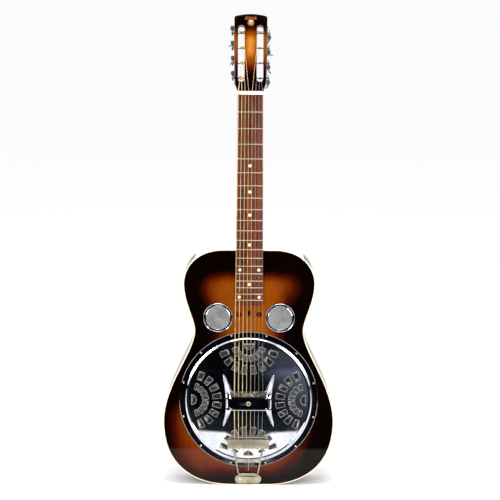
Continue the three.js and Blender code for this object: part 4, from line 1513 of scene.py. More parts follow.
    def rest_strap(self) -> Shape:
        """The strap of the hand rest, with rounded ends and a hole for its eyelet.

        Returns:
            The shape.
        """
        top = self.rest_height
        half = self.rest_half
        corners = [(-half, 0, top - 17), (-half, 0, top), (half, 0, top), (half, 0, top - 17)]
        route = rounded(corners, 13, 16)
        width = self.rest_length / 2
        section = crowned(Vector((0, width, 0)), 7, lambda share: -0.5 * share**4)
        stations = []
        for index, point in enumerate(route):
            ahead = route[min(index + 1, len(route) - 1)] - route[max(index - 1, 0)]
            slope = Vector((1, 0, 0)).rotation_difference(ahead.normalized()).angle
            tilt = turn(-slope if ahead.z > 0 else slope, "Y")
            taper = 1 - 0.1 * fade(half - 8, half, abs(point.x))
            stations.append(Matrix.Translation(point) @ tilt @ Matrix.Diagonal((1, taper, 1, 1)))
        shape = strap(section, stations, self.sheet)
        return shape.cut(bar(3.1, top - 5, top + 5, 28)).soften(0.35, 2, angle=50)

    def rest_leg(self, side_x: int, side_y: int) -> Shape:
        """One splayed leg of the hand rest.

        Args:
            side_x: 1 on the treble side, -1 on the bass side.
            side_y: 1 towards the head, -1 towards the tail.

        Returns:
            The shape.
        """
        foot_x, foot_y = self.foot
        foot_z = self.dome_z(hypot(foot_x, foot_y)) + GAP + self.sheet
        top = self.rest_height - self.sheet
        knots = [
            Vector((41, 9, top)), Vector((43, 26, top + 0.5)), Vector((46, 34, foot_z + 6)),
            Vector((foot_x, foot_y, foot_z)),
        ]
        knots = [Vector((knot.x * side_x, knot.y * side_y, knot.z)) for knot in knots]
        route = geometry.interpolate_bezier(*knots, self.leg_steps)
        last = self.leg_steps - 1
        section = crowned(Vector((1, 0, 0)), 5, lambda share: 0.22 * (1 - share**2))
        stations = []
        for index, point in enumerate(route):
            ahead = (route[min(index + 1, last)] - route[max(index - 1, 0)]).normalized()
            across = Vector((1, 0, 0)) - ahead * ahead.x
            across.normalize()
            up = across.cross(ahead) * (1 if ahead.y > 0 else -1)
            share = index / last
            width = (5.6 - 3.2 * share) * (1 - 0.6 * fade(0.85, 1.0, share))
            basis = Matrix((across * width, ahead, up * 4)).transposed().to_4x4()
            stations.append(Matrix.Translation(point) @ basis)
        return strap(section, stations, self.sheet).soften(0.3, 2, angle=50)

    def rest(self) -> Shape:
        """The whole hand rest, with its eyelet and rivets.

        Returns:
            The shape.
        """
        shape = self.rest_strap()
        for side_x in (-1, 1):
            for side_y in (-1, 1):
                shape.add(self.rest_leg(side_x, side_y))
                rivet = turned([(0, 0.9), (1.0, 0.7), (1.5, 0.1), (1.5, -0.6), (0, -0.6)], 16)
                shape.add(rivet, shift(side_x * 36.5, side_y * 11.2, self.rest_height))
        return shape

    def eyelet(self) -> Shape:
        """The ring round the hole in the hand rest.

        Returns:
            The shape.
        """
        top = self.rest_height
        inner = [(2.9, top - 2), (2.9, top + 0.2), (3.2, top + 0.7), (3.8, top + 0.85)]
        return turned([*inner, (4.4, top + 0.6), (4.7, top), (3.3, top - 0.3), (3.1, top - 2)], 40)

    def tension_screw(self) -> Shape:
        """The screw that draws the cone up to the bridge."""
        profile = [(0, -14.7), (2.2, -14.7), (2.5, -14.2), (2.5, 9.3), (3.1, 9.3), (3.1, 11.2), (2.5, 11.9)]
        return turned([*profile, (0, 11.9)], 24).cut(block((-0.4, -5, 10.8), (0.4, 5, 13)))

    def build(self, shop: Workshop, spacing: float) -> None:
        """Makes the pieces.

        Args:
            shop: finishes them.
            spacing: between strings at the saddle.
        """
        parts: list[tuple[str, Shape, Slot, list[str]]] = [
            ("cone", self.cone(), Slot.ALUMINIUM, ["resonator_cone"]),
            ("bridge_casting", self.spider(), Slot.ALUMINIUM, ["spider_bridge"]),
            ("saddle_half_bass", self.saddle(-1, spacing), Slot.MAPLE, ["saddle_bass"]),
            ("saddle_half_treble", self.saddle(1, spacing), Slot.MAPLE, ["saddle_treble"]),
            ("cone_screw", self.tension_screw(), Slot.STEEL, ["tension_screw"]),
            ("pierced_cover", self.cover(), Slot.CHROME, ["coverplate"]),
            ("palm_rest", self.rest(), Slot.CHROME, ["hand_rest"]),
        ]
        for name, shape, slot, nodes in parts:
            shop.piece(name, shape.move(self.middle), slot, replaces=nodes)
        lips = self.lips().move(self.middle)
        shop.piece("cover_lips", lips, Slot.CHROME, finish=DETAILS.lip)
        screws = self.cover_screws().move(self.middle)
        shop.piece("cover_screws", screws, Slot.STEEL, finish=DETAILS.brass)
        shop.piece("rest_eyelet", self.eyelet().move(self.middle), Slot.CHROME, finish=DETAILS.fret)


# -- neck and head
@dataclass
class Neck:
    """The neck's shaft, its fingerboard, frets, dots and nut."""

    start: float = 500.3
    depth: float = 31.0
    heel_depth: float = 72.0
    heel_length: float = 46.0
    nut_width: float = 51.5
    end_width: float = 56.5
    overhang: float = 11.0
    frets: int = 19
    nut_thick: float = 6.5
    nut_top: float = 16.3
    single_dots: tuple = (5, 7, 9, 12, 17)
    double_dots: tuple = ((15, 19.4), (19, 20.4))
    fret_half: float = 0.85
    fret_rise: float = 0.95

    def fret_y(self, number: int) -> float:
        """Where a fret stands."""
        return NUT_Y - SCALE_LENGTH * (1 - 2 ** (-number / 12))

    def board_end(self) -> float:
        """Where the fingerboard ends over the body."""
        return self.fret_y(self.frets) - self.overhang

    def half_width(self, y: float) -> float:
        """Half the fingerboard's width at a place."""
        share = (NUT_Y - min(y, NUT_Y)) / (NUT_Y - self.board_end())
        return (self.nut_width + (self.end_width - self.nut_width) * share) / 2

    def shaft(self) -> Shape:
        """The square neck with softened back edges and a curved heel.

        Returns:
            The shape.
        """
        fall = tan(radians(HEAD_TILT))
        start, end = self.start, HEAD_Y + 16
        under = 20 / cos(radians(HEAD_TILT))
        heel = geometry.interpolate_bezier(
            Vector((start + self.heel_length, -self.depth)),
            Vector((start + self.heel_length * 0.42, -self.depth - 1)),
            Vector((start + self.heel_length * 0.3, -self.depth - 8)),
            Vector((start + 6, -self.heel_depth)),
            10,
        )
        side = [(start, -0.02), (HEAD_Y, -0.02), (end, -(end - HEAD_Y) * fall - 0.3)]
        side += [(end, -under - (end - HEAD_Y) * fall + 0.3), (HEAD_Y - 20, -self.depth)]
        side += [(point.x, point.y) for point in heel] + [(start, -self.heel_depth)]
        shape = thicken(sheet([(-1, y, z) for y, z in side]), (2, 0, 0))
        for vert in shape.bm.verts:
            vert.co.x *= self.half_width(vert.co.y)
        for y in range(520, 820, 20):
            shape.split((0, y, 0), (0, 1, 0))
        return shape.soften(7, 6, self._back_edge)

    def _back_edge(self, edge: Edge) -> bool:
        """Whether an edge runs along the back of the neck or the heel.

        Args:
            edge: of the shaft.

        Returns:
            True for an edge to be rounded.
        """
        first, second = (vert.co for vert in edge.verts)
        sideways = abs(first.x - second.x) < 1.5
        inside = max(first.y, second.y) < HEAD_Y - 10 and first.y > self.start + 1
        return sideways and inside and max(first.z, second.z) < -self.depth + 1

    def board(self) -> Shape:
        """The fingerboard.

        Returns:
            The shape.
        """
        near, far = self.board_end(), NUT_Y - GAP
        corners = [(-1, near, GAP), (1, near, GAP), (1, far, GAP), (-1, far, GAP)]
        shape = sheet([(x * self.half_width(y), y, z) for x, y, z in corners])
        return thicken(shape, (0, 0, BOARD_TOP - GAP)).soften(0.6, 3)

    def fret_wires(self) -> Shape:
        """Every fret, with rounded crowns and ends.

        Returns:
            The shape.
        """
        wires = Shape()
        for number in range(1, self.frets + 1):
            y = self.fret_y(number)
            half = self.half_width(y) - 0.3
            low = (-half, y - self.fret_half, BOARD_TOP - 0.3)
            fret = block(low, (half, y + self.fret_half, BOARD_TOP + self.fret_rise))
            fret.soften(0.6, 3, lambda edge: min(vert.co.z for vert in edge.verts) > BOARD_TOP)
            wires.add(fret)
        return wires

    def dots(self) -> Shape:
        """The position dots.

        Returns:
            The shape.
        """
        marks = [(0.0, number) for number in self.single_dots]
        marks += [(side * x, number) for number, x in self.double_dots for side in (-1, 1)]
        dots = Shape()
        for x, number in marks:
            y = (self.fret_y(number) + self.fret_y(number - 1)) / 2
            dot = turned([(0, 0.14), (2.4, 0.12), (3.2, 0.03), (3.25, -0.5), (0, -0.5)], 24)
            dots.add(dot, shift(x, y, BOARD_TOP))
        return dots

    def nut(self, radii: Sequence[float], spacing: float) -> Shape:
        """The nut, with a slot under each string.

        Args:
            radii: the strings' radii.
            spacing: between strings.

        Returns:
            The shape.
        """
        half = self.nut_width / 2
        shape = block((-half, NUT_Y, GAP), (half, NUT_Y + self.nut_thick, self.nut_top), 0.8, 3)
        tools = Shape()
        for index, radius in enumerate(radii):
            x = (index - (len(radii) - 1) / 2) * spacing
            groove = bar(radius + 0.12, -10, 10, 12).move(turn(radians(90), "X"))
            tools.add(groove, shift(x, NUT_Y + 3, self.nut_top + 0.25))
        return shape.cut(tools)

    def build(self, shop: Workshop, strings: "Strings") -> None:
        """Makes the pieces.

        Args:
            shop: finishes them.
            strings: the strings it carries.
        """

        def stain(place: Vector) -> float:
            """The shaft's stain: dark at the heel and the head, red brown between."""
            along = fade(560, 660, place.y) * fade(815, 740, place.y)
            return 0.1 + 0.5 * along * fade(-40, -8, place.z)

        shop.piece("neck_shaft", self.shaft(), Slot.SUNBURST, replaces=["neck"], burst=stain, crease=40)
        shop.piece("board", self.board(), Slot.BOARD, replaces=["fingerboard"])
        shop.piece("frets", self.fret_wires(), Slot.STEEL, finish=DETAILS.fret)
        shop.piece("position_dots", self.dots(), Slot.BINDING, finish=DETAILS.dot)
        nut = self.nut(strings.radii, strings.nut_spacing)
        shop.piece("string_nut", nut, Slot.NUT, replaces=["nut"])


@dataclass
class Head:
    """The slotted head and its ornament."""

    length: float = 158.0
    thick: float = 20.0
    base_half: float = 31.3
    top_half: float = 33.8
    shoulder: float = 14.0
    nut_half: float = 25.75
    arch: float = 4.0
    corner: float = 5.0
    slot_x: float = 19.0
    slot_half: float = 6.7
    slot_start: float = 18.5
    slot_end: float = 135.5
    axis_depth: float = 7.0
    tuner_first: float = 28.0
    tuner_pitch: float = 31.0
    bore: float = 2.7
    banner_s: float = 149.4
    medallion_s: float = 140.2

    def flare(self) -> float:
        """How fast a cheek leans out."""
        return (self.top_half - self.base_half) / (self.length - self.shoulder)

    def half(self, s: float) -> float:
        """Half the head's width at a distance from the nut."""
        return self.base_half + self.flare() * (s - self.shoulder)

    def tuner_s(self, index: int) -> float:
        """A tuner's distance from the start of the head."""
        return self.tuner_first + index * self.tuner_pitch

    def outline(self) -> list[Point]:
        """The head's outline, with rounded corners and an arched top.

        Returns:
            Its points.
        """
        top = self.half(self.length - self.arch)
        edge = self.length - self.arch
        arch_x, arch_s = top - self.corner, edge + 0.8
        corner = geometry.interpolate_bezier(
            Vector((top, edge - self.corner)), Vector((top, edge - 1.6)),
            Vector((top - 1.8, edge + 0.4)), Vector((arch_x, arch_s)), 7,
        )
        third = arch_x / 3
        crown = geometry.interpolate_bezier(
            Vector((arch_x, arch_s)), Vector((third, self.length + 1.6)),
            Vector((-third, self.length + 1.6)), Vector((-arch_x, arch_s)), 15,
        )
        side = [Vector((self.nut_half, 0)), Vector((self.half(self.shoulder), self.shoulder))]
        right = side + list(corner)
        left = [Vector((-point.x, point.y)) for point in reversed(right)]
        return [(point.x, point.y, 0.0) for point in [*right, *crown[1:-1], *left]]

    def blank(self) -> Shape:
        """The head with its two slots and the rollers' bores.

        Returns:
            The shape.
        """
        shape = sheet(self.outline())
        for s in range(8, 156, 8):
            shape.split((0, s, 0), (0, 1, 0))
        for x in (-9, -6, -3, 0, 3, 6, 9):
            shape.split((x, 0, 0), (1, 0, 0))
        thicken(shape, (0, 0, -self.thick)).soften(0.7, 2, angle=50)
        tools = Shape()
        for side in (-1, 1):
            radius = self.slot_half
            low, high = self.slot_start + radius, self.slot_end - radius
            x = side * self.slot_x
            for s in (low, high):
                shape.cut(bar(radius, -30, 10, 32).move(shift(x, s, 0)))
            shape.cut(block((-radius, low, -30), (radius, high, 10)).move(shift(x, 0, 0)))
            for index in range(4):
                bore = bar(self.bore, 5.0, 40, 16).move(turn(side * pi / 2, "Y"))
                place = shift(0, self.tuner_s(index), -self.axis_depth)
                lean = turn(-side * atan(self.flare()))
                tools.add(bore, place @ lean)
        return shape.cut(tools)

    def ornament(self) -> list[tuple[str, Shape, Finish]]:
        """A small inlaid banner with a round medallion below it, both plain.

        Returns:
            Each layer's name, shape and finish.
        """
        half = [(12.5, self.banner_s - 3.2), (10.8, self.banner_s), (12.5, self.banner_s + 3.2)]
        places = [*half, *[(-x, s) for x, s in reversed(half)]]
        border = thicken(sheet([(x, s, -0.3) for x, s in places]), (0, 0, 0.38))
        inner = [(x * 0.88, self.banner_s + (s - self.banner_s) * 0.66, -0.2) for x, s in places]
        banner = thicken(sheet(inner), (0, 0, 0.38))
        middle = shift(0, self.medallion_s, 0)
        layers = []
        for name, radius, top, finish in (
            ("rim", 6.9, 0.08, DETAILS.enamel),
            ("ring", 6.0, 0.13, DETAILS.gilt),
            ("centre", 4.0, 0.18, DETAILS.green),
        ):
            edge = [(radius - 0.2, top), (radius, top - 0.1), (radius, -0.3)]
            disc = turned([(0, top), *edge, (0, -0.3)], 36).move(middle)
            layers.append((f"head_medallion_{name}", disc, finish))
        layers.append(("head_banner_border", border.soften(0.1, 1), DETAILS.gilt))
        layers.append(("head_banner_field", banner.soften(0.1, 1), DETAILS.enamel))
        return layers

    def build(self, shop: Workshop) -> None:
        """Makes the pieces.

        Args:
            shop: finishes them.
        """

        def stain(place: Vector) -> float:
            """The head's stain: gold between the slots, dark at both ends and round the back.

            Args:
                place: in the head's frame.

            Returns:
                A share from 0, black, to 1, gold.
            """
            along = fade(20, 84, place.y) * fade(142, 104, place.y)
            across = 1 - 0.28 * fade(2, 16, abs(place.x))
            front = fade(-20, -4, place.z)
            return 0.14 + 0.78 * along * across * (0.5 + 0.5 * front)

        shop.piece(
            "head", self.blank(), Slot.SUNBURST, home=HEAD, replaces=["neck"], burst=stain, crease=40
        )
        for name, shape, finish in self.ornament():
            shop.piece(name, shape, Slot.TUNER, home=HEAD, finish=finish)


# -- tuners
@dataclass
class Tuners:
    """Eight worm tuners, four to a strip."""

    head: Head
    strip_half: float = 61.0
    strip_high: float = 8.5
    sheet: float = 1.2
    gear_x: float = 4.6
    mesh: float = 9.4
    gear_radius: float = 6.2
    gear_thick: float = 3.0
    teeth: int = 14
    worm_radius: float = 2.8
    worm_half: float = 5.2
    shaft: float = 1.5
    roller_radius: float = 3.2
    roller_shaft: float = 2.4
    button_top: float = -18.0
    button: tuple = (10.0, 3.25, 6.5)
    button_turn: float = 2.1
    tip: float = 7.3
    strip_screws: tuple = (-57.5, -20.0, 10.5, 41.5, 57.5)
    lug: tuple = (5.5, 6.7)
    thread: tuple = (2.2, 0.58, 2.6, 3.6)  # radius, wire, pitch and turns

    def cheek(self, side: int) -> Matrix:
        """The frame of one cheek, with x out of it.

        Args:
            side: 1 on the treble side, -1 on the bass side.

        Returns:
            Its matrix in the head's frame.
        """
        middle = self.head.tuner_s(0) + 1.5 * self.head.tuner_pitch
        lean = atan(self.head.flare())
        facing = -lean if side > 0 else pi + lean
        place = shift(side * self.head.half(middle), middle, -self.head.axis_depth)
        return place @ turn(facing)

    def strip(self) -> Shape:
        """A strip with lugs for the worms and a screw between the tuners.

        Returns:
            The shape.
        """
        low, high = GAP, GAP + self.sheet
        strip = block((low, -self.strip_half, -self.strip_high), (high, self.strip_half, self.strip_high))
        strip.soften(2.5, 4, running(0))
        strip.soften(0.3, 2)
        for index in range(4):
            y = (index - 1.5) * self.head.tuner_pitch
            for side in (-1, 1):
                near, far = sorted(side * face for face in self.lug)
                lug = block((low, y - self.mesh - 3.5, near), (self.gear_x + 3.3, y - self.mesh + 3.5, far))
                strip.add(lug.soften(2.6, 4, running(2)))
        for y in self.strip_screws:
            screw = slotted_head(1.9, 0.9, 0.45).move(turn(y))
            strip.add(screw, shift(high, y, 0) @ turn(pi / 2, "Y"))
        return strip

    def spindle(self, reach: float) -> Shape:
        """A roller with its shaft, its toothed gear and the gear's screw, along x.

        Args:
            reach: from the middle of the head to this cheek.

        Returns:
            The shape.
        """
        web = self.head.slot_x - self.head.slot_half
        start, inner = web - 7 - reach, web + GAP - reach
        outer = self.head.slot_x + self.head.slot_half - GAP - reach
        gear = self.gear_x - self.gear_thick / 2
        roll, shaft = self.roller_radius, self.roller_shaft
        profile = [
            (0, start), (shaft, start), (shaft, inner), (roll, inner), (roll, inner + 1),
            (roll - 0.25, inner + 1.4), (roll - 0.25, outer - 1.4), (roll, outer - 1), (roll, outer),
            (shaft, outer), (shaft, gear + 1), (0, gear + 1),
        ]
        shape = turned(profile, 24)
        wheel = Shape()
        bmesh.ops.create_circle(wheel.bm, cap_ends=True, segments=self.teeth * 4, radius=1)
        for index, vert in enumerate(wheel.bm.verts):
            vert.co *= self.gear_radius if index % 4 < 2 else self.gear_radius - 1.1
        thicken(wheel, (0, 0, self.gear_thick)).soften(0.2, 1, angle=60)
        shape.add(wheel, shift(0, 0, gear))
        screw = slotted_head(2.4, 1.0, 0.6)
        shape.add(screw, shift(0, 0, gear + self.gear_thick))
        return shape.move(turn(pi / 2, "Y"))

    def key(self, number: int) -> Shape:
        """A worm with its thread, shaft, collar and oval button, along z.

        Args:
            number: the tuner's number, which sets how its button stands.

        Returns:
            The shape.
        """
        half, tip = self.worm_half, self.tip
        profile = [(0, self.button_top - 2), (self.shaft, self.button_top - 2), (self.shaft, -half)]
        profile += [(1.9, -half), (1.9, half), (self.shaft, half), (self.shaft, tip - 0.3)]
        shape = turned([*profile, (1.1, tip), (0, tip)], 20)
        thread = coil(*self.thread, 18, 4)
        shape.add(thread, shift(0, 0, -4.7))
        collar = [(0, 1.4), (1.9, 1.2), (2.3, 0.2), (2.7, -1.6), (3.1, -2.6), (0, -2.6)]
        shape.add(turned(collar, 20), shift(0, 0, self.button_top + 1))
        oval = Shape()
        bmesh.ops.create_uvsphere(oval.bm, u_segments=28, v_segments=16, radius=1)
        for vert in oval.bm.verts:
            waist = 1 - 0.18 * fade(0.2, 1.0, vert.co.z)
            vert.co.x *= waist
            vert.co.y *= 0.72 + 0.28 * abs(vert.co.x)
        x, y, z = self.button
        place = shift(0, 0, self.button_top - z) @ turn(number * self.button_turn)
        shape.add(oval, place @ Matrix.Diagonal((x, y, z, 1)))
        return shape

    def build(self, shop: Workshop) -> None:
        """Makes the pieces.

        Args:
            shop: finishes them.
        """
        for side, name in ((-1, "bass"), (1, "treble")):
            cheek = self.cheek(side)
            strip = self.strip().move(cheek)
            shop.piece(f"strip_{name}", strip, Slot.TUNER, home=HEAD, replaces=[f"tuner_strip_{name}"])
            for index in range(4):
                number = index + 1 if side < 0 else 8 - index
                y = side * (index - 1.5) * self.head.tuner_pitch
                reach = self.head.half(self.head.tuner_s(index))
                spindle = self.spindle(reach).move(cheek @ shift(0, y, 0))
                key = self.key(number).move(cheek @ shift(self.gear_x, y - self.mesh, 0))
                for body, part, shape, node in (
                    (f"spindle_{number}", "roller", spindle, f"roller_{number}"),
                    (f"key_{number}", "worm", key, f"tuning_key_{number}"),
                ):
                    shop.piece(f"{body}_{part}", shape, Slot.TUNER, body, HEAD, [node])


# -- strings
@dataclass
class Strings:
    """Eight strings, with their turns on the rollers and their tails under the cover."""

    radii: tuple = (0.72, 0.6, 0.5, 0.42, 0.34, 0.24, 0.2, 0.16)
    wound: int = 5
    nut_spacing: float = 6.9
    saddle_spacing: float = 8.5
    tail_spacing: float = 8.1
    roller_first: float = 21.5
    roller_step: float = 2.1
    tail_y: float = 92.0
    rod_y: float = 105.5
    tail_z: float = 15.2
    saddle_z: float = 23.7
    nut_z: float = 16.6
    roller_radius: float = 3.2
    wraps: float = 3.25
    tail_ends: tuple = ((-10.5, 52, 0.42), (0.4, 34, 0.5), (9.6, 55, 0.36))  # across, low end, radius

    def place(self, index: int) -> float:
        """A string's place across the neck, counted from the middle."""
        return index - (len(self.radii) - 1) / 2

    def tuner(self, index: int) -> int:
        """Which tuner of its cheek a string goes to, counted from the nut."""
        return index if self.place(index) < 0 else len(self.radii) - 1 - index

    def roller_x(self, index: int) -> float:
        """Where a string meets its roller."""
        side = 1 if self.place(index) > 0 else -1
        return side * (self.roller_first - self.tuner(index) * self.roller_step)

    def route(self, index: int, head: Head) -> list[Vector]:
        """A string's middle line in the bench frame.

        Args:
            index: the string, from the bass side.
            head: the head, for its rollers.

        Returns:
            The points, from the tailpiece to a quarter of the way round the roller.
        """
        radius, place = self.radii[index], self.place(index)
        tilt = radians(HEAD_TILT)
        rests = [
            (self.tail_spacing, self.tail_z, (self.tail_y, self.rod_y)),
            (self.saddle_spacing, self.saddle_z, (CONE_Y - 1.6, CONE_Y + 1.6)),
            (self.nut_spacing, self.nut_z, (NUT_Y, NUT_Y + 6.5)),
        ]
        points = [Vector((place * space, y, z + radius)) for space, z, ends in rests for y in ends]
        wrap = self.roller_radius + GAP + radius
        s_axis = head.tuner_s(self.tuner(index))
        for angle in range(0, 91, 15):
            s = s_axis + wrap * sin(radians(angle))
            height = -head.axis_depth + wrap * cos(radians(angle))
            y = HEAD_Y + s * cos(tilt) + height * sin(tilt)
            points.append(Vector((self.roller_x(index), y, height * cos(tilt) - s * sin(tilt))))
        return points

    def turns(self, index: int, head: Head, tuners: Tuners) -> Shape:
        """A string's turns on its roller, in the head's frame.

        Args:
            index: the string, from the bass side.
            head: the head.
            tuners: the tuners.

        Returns:
            The shape.
        """
        radius = self.radii[index]
        side = 1 if self.place(index) > 0 else -1
        reach = head.half(head.tuner_s(self.tuner(index)))
        shape = coil(self.roller_radius + radius * 0.9, radius, 2.1 * radius, self.wraps, 18, 6)
        inward = turn(-pi / 2, "Y")
        offset = abs(self.roller_x(index)) - reach - 1.2 * radius
        y = side * (self.tuner(index) - 1.5) * head.tuner_pitch
        place = tuners.cheek(side) @ shift(offset, y, 0) @ inward
        return shape.move(place)

    def tails(self) -> Shape:
        """The three string ends that hang below the cover.

        Returns:
            The shape.
        """
        shape = Shape()
        for x, low, radius in self.tail_ends:
            bend = [Vector((x, 92, 15.5)), Vector((x, 80, 14)), Vector((x + 0.4, 66, 10.5))]
            shape.add(wire([*bend, Vector((x + 0.2, low, 8.5))], radius, 8))
        return shape

    def build(self, shop: Workshop, head: Head, tuners: Tuners) -> None:
        """Makes the pieces.

        Args:
            shop: finishes them.
            head: the head that they run to.
            tuners: the tuners that wind them.
        """
        for index, radius in enumerate(self.radii):
            slot = Slot.WOUND if index < self.wound else Slot.PLAIN
            number = index + 1
            shape = wire(self.route(index, head), radius, 12)
            shop.piece(f"course_{number}", shape, slot, replaces=[f"string_{number}"], crease=60)
            turns = self.turns(index, head, tuners)
            shop.piece(f"turns_{number}", turns, slot, f"spindle_{number}", HEAD, crease=60)
        shop.piece("string_tails", self.tails(), Slot.WOUND, Carrier.TAILPIECE.value, crease=60)


# -- tailpiece
@dataclass
class Tailpiece:
    """The folded cover, its wire frame and the bracket on the top."""

    wire_radius: float = 1.65
    rod_y: float = 105.5
    rod_z: float = 11.85
    rod_half: float = 40.0
    cover_half: float = 43.0
    cover_low: float = 84.0
    cover_high: float = 103.0
    cover_z: float = 18.3
    sheet: float = 1.2
    knuckle_y: float = 23.8
    knuckle_z: float = 3.25
    leg_bottom: float = 20.0
    leg_top: float = 31.0
    bracket_half: float = 27.5
    bracket_low: float = 3.8
    bracket_length: float = 18.5
    bracket_thick: float = 1.6

    def frame(self) -> Shape:
        """The bent wire, with a brace across its legs.

        Returns:
            The shape.
        """
        half = [
            (12, self.knuckle_y, self.knuckle_z), (self.leg_bottom, self.knuckle_y, self.knuckle_z),
            (self.leg_top, self.cover_low, self.rod_z - 1), (self.rod_half, self.rod_y - 8, self.rod_z),
            (self.rod_half, self.rod_y, self.rod_z),
        ]
        route = rounded([(-x, y, z) for x, y, z in half] + half[::-1], 5, 7)
        shape = wire(route, self.wire_radius, 16)
        brace = block((-24.5, 50.4, 6.2), (24.5, 54.6, 7.2), 0.4)
        return shape.add(brace)

    def cover(self) -> Shape:
        """The folded cover: a face with a rolled upper edge, and an ear at each end.

        Returns:
            The shape.
        """
        low, high, z = self.cover_low, self.cover_high, self.cover_z
        face = block((-self.cover_half, low, z), (self.cover_half, high, z + self.sheet), 0.5, 3)
        lip = block((-self.cover_half, low, z - 2.2), (self.cover_half, low + self.sheet, z + 0.6), 0.4)
        face.add(lip)
        for side in (-1, 1):
            x = side * (self.rod_half + self.wire_radius + GAP)
            ear = [
                (low + 6, z + 0.6), (high, z + 0.6), (self.rod_y + 1.65, self.rod_z),
                (self.rod_y - 3.3, self.rod_z - 1.65), (high - 6, self.rod_z),
            ]
            flap = thicken(sheet([(x, y, height) for y, height in ear]), (side * self.sheet, 0, 0))
            face.add(flap.soften(0.3, 2))
            face.add(slotted_head(1.7, 0.8, 0.4), shift(side * 37, 97.5, z + self.sheet))
        return face

    def bracket(self) -> Shape:
        """The oblong plate with its rolled knuckle, curled round the wire's pins.

        Returns:
            The shape.
        """
        radius = self.bracket_length / 2
        middle = self.bracket_low + radius
        plate = Shape()
        bmesh.ops.create_circle(plate.bm, cap_ends=True, segments=48, radius=radius)
        for vert in plate.bm.verts:
            spread = self.bracket_half - radius
            vert.co.x += spread * max(-1.0, min(1.0, vert.co.x * 2))
        plate.move(shift(0, middle, GAP))
        thicken(plate, (0, 0, self.bracket_thick)).soften(0.45, 3, angle=50)
        knuckle = turned([(1.95, -15), (2.95, -15), (2.95, 15), (1.95, 15)], 28)
        tools = Shape()
        for x in (-5, 5):
            tools.add(block((x - 0.25, -4, -4), (x + 0.25, 4, 4)))
        knuckle.move(turn(pi / 2, "Y")).cut(tools)
        plate.add(knuckle, shift(0, self.knuckle_y, self.knuckle_z))
        high = GAP + self.bracket_thick
        web = block((-15, middle + radius - 4, GAP), (15, self.knuckle_y, high), 0.3)
        return plate.add(web)

    def bracket_screws(self) -> Shape:
        """The two screws of the bracket.

        Returns:
            The shape.
        """
        screws = Shape()
        for side in (-1, 1):
            middle = self.bracket_low + self.bracket_length / 2
            place = shift(side * 16, middle, GAP + self.bracket_thick)
            screws.add(slotted_head(3.2, 1.3, 0.8), place @ turn(side * 0.7))
        return screws

    def build(self, shop: Workshop) -> None:
        """Makes the pieces.

        Args:
            shop: finishes them.
        """
        body = Carrier.TAILPIECE.value
        shop.piece("tail_wire", self.frame(), Slot.NICKEL, body, replaces=["tailpiece_frame"], crease=50)
        shop.piece("tail_cover", self.cover(), Slot.NICKEL, body, replaces=["tailpiece_plate"])
        shop.piece("tail_bracket", self.bracket(), Slot.NICKEL, replaces=["tailpiece_bracket"])
        shop.piece("bracket_screws", self.bracket_screws(), Slot.NICKEL, finish=DETAILS.brass)


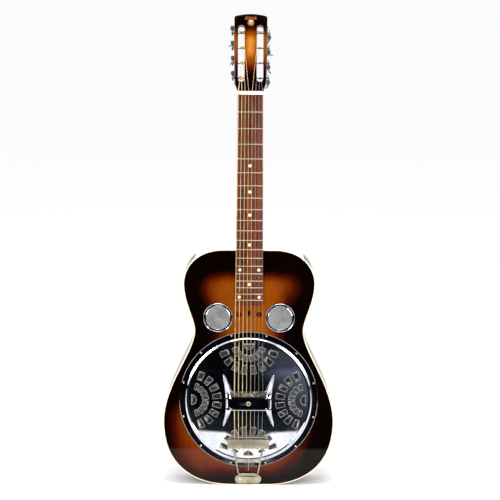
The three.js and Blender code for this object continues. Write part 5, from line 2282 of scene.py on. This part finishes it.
# -- studio
@dataclass
class Studio:
    """The pale floor, the soft lights and the camera."""

    camera_at: Point = (0.0011, -3.4995, 1.047)
    camera_tilt: float = 81.0
    roll: float = 0.36
    lens: float = 122.7
    floor_reach: float = 150.0
    floor_edge: float = -0.27
    aim: Point = (0.0, 0.0, 0.35)
    lights: tuple = (
        ("left_softbox", (-1.35, -2.4, 0.75), (0.55, 1.3), 26),
        ("right_softbox", (1.15, -2.5, 0.7), (0.6, 1.2), 30),
        ("overhead", (0.0, -0.6, 2.4), (1.6, 1.0), 22),
    )

    def floor(self) -> None:
        """Lays the floor. Beyond its edge, polished metal sees a painted reflection of a dark room."""
        mesh = Shape()
        bmesh.ops.create_grid(mesh.bm, x_segments=2, y_segments=2, size=self.floor_reach)
        floor = as_object("floor", mesh.bm)
        mesh.bm.free()
        material, mixer = bare_material("floor")
        paper = mixer.add("BsdfDiffuse", {"Color": (0.965, 0.965, 0.97, 1)})
        split = mixer.add("SeparateXYZ", {0: mixer.place()})
        # Painted reflection: the dark room that glossy rays see is lighter in cloudy patches towards +x and
        # nearer the edge.
        cloudy = mixer.noise(mixer.place((1.6, 1.0, 1.0), (0.35, 0.4, 0)), 1.5, 2)
        aisle = mixer.span(split.outputs[0], 0, 1.3, 0.1, 0.45)
        near = mixer.span(split.outputs[1], 0, 0.32, -0.62, -0.34)
        painted_reflection_patches = mixer.sum("MULTIPLY", mixer.sum("MAXIMUM", aisle, near), cloudy)
        painted_reflection_colour = mixer.ramp(painted_reflection_patches, [(0.02, (0.001, 0.001, 0.002)), (0.8, (0.06, 0.07, 0.1))])
        dark = mixer.add("BsdfDiffuse", {"Color": painted_reflection_colour})
        # The painted dark reflection reaches nearer the guitar in the middle than at the sides.
        aside = mixer.sum("ABSOLUTE", split.outputs[0])
        shifted = mixer.sum("ADD", split.outputs[1], mixer.span(aside, 0, 0.05, 0.03, 0.08))
        beyond = mixer.span(shifted, 1, 0, self.floor_edge - 0.01, self.floor_edge + 0.01)
        mirrored = mixer.sum("MULTIPLY", beyond, mixer.add("LightPath").outputs["Is Glossy Ray"])
        mixed = mixer.add("MixShader", {0: mirrored, 1: paper.outputs[0], 2: dark.outputs[0]})
        mixer.add("OutputMaterial", {"Surface": mixed.outputs[0]})
        floor.data.materials.append(material)

    def surroundings(self) -> None:
        """Pale all round, but dark to polished metal, as a studio's unlit side is."""
        world = bpy.data.worlds.new("studio")
        bpy.context.scene.world = world
        world.use_nodes = True
        world.node_tree.nodes.clear()
        mixer = Mixer(world.node_tree)
        pale = mixer.add("Background", {"Color": (1, 1, 1, 1), "Strength": 1.0})
        toward = mixer.add("SeparateXYZ", {0: mixer.add("TexCoord").outputs["Generated"]}).outputs[1]
        aside = mixer.span(toward, 0.006, 1.2, -0.86, -0.55)
        behind = mixer.span(toward, 0, 3.0, -0.2, 0.5)
        strength = mixer.sum("ADD", aside, behind)
        dark = mixer.add("Background", {"Color": (0.97, 0.98, 1, 1), "Strength": strength})
        glossy = mixer.add("LightPath").outputs["Is Glossy Ray"]
        mixed = mixer.add("MixShader", {0: glossy, 1: pale.outputs[0], 2: dark.outputs[0]})
        mixer.add("OutputWorld", {"Surface": mixed.outputs[0]})

    @staticmethod
    def _stand(data: bpy.types.ID, at: Point, facing: Matrix) -> bpy.types.Object:
        """Stands a light or a camera in the scene.

        Args:
            data: the light or the camera.
            at: where it is.
            facing: how it is turned.

        Returns:
            Its object.
        """
        made = bpy.data.objects.new(data.name, data)
        made.location = at
        made.rotation_euler = facing.to_euler()
        bpy.context.scene.collection.objects.link(made)
        return made

    def softbox(self, name: str, at: Point, size: tuple[float, float], power: float) -> None:
        """Hangs a soft light that faces the body.

        Args:
            name: its name.
            at: where it is.
            size: its width and height.
            power: in watts.
        """
        light = bpy.data.lights.new(name, "AREA")
        light.shape = "RECTANGLE"
        light.size, light.size_y = size
        light.energy = power
        self._stand(light, at, (Vector(self.aim) - Vector(at)).to_track_quat("-Z", "Y").to_matrix())

    def camera(self) -> None:
        """Sets up the camera."""
        lens = bpy.data.cameras.new("camera")
        lens.lens = self.lens
        lens.sensor_width = 36.0
        lens.clip_end = 400.0
        tilt = turn(radians(self.camera_tilt), "X")
        bpy.context.scene.camera = self._stand(lens, self.camera_at, tilt @ turn(radians(self.roll)))

    def build(self) -> None:
        """Sets everything up."""
        self.camera()
        self.floor()
        self.surroundings()
        for light in self.lights:
            self.softbox(*light)
        bpy.context.scene.view_settings.view_transform = "Standard"


def main() -> None:
    """Builds the studio, then the guitar's pieces in order."""
    logging.basicConfig(level=logging.INFO, format="%(name)s: %(message)s")
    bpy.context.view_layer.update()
    Studio().build()
    shop = Workshop(frame["nodes"])
    body, head, strings = Body(), Head(), Strings()
    tuners = Tuners(head)
    body.build(shop)
    Screens().build(shop, body)
    Resonator().build(shop, strings.saddle_spacing)
    Neck().build(shop, strings)
    head.build(shop)
    tuners.build(shop)
    strings.build(shop, head, tuners)
    Tailpiece().build(shop)


if __name__ == "__main__":
    main()
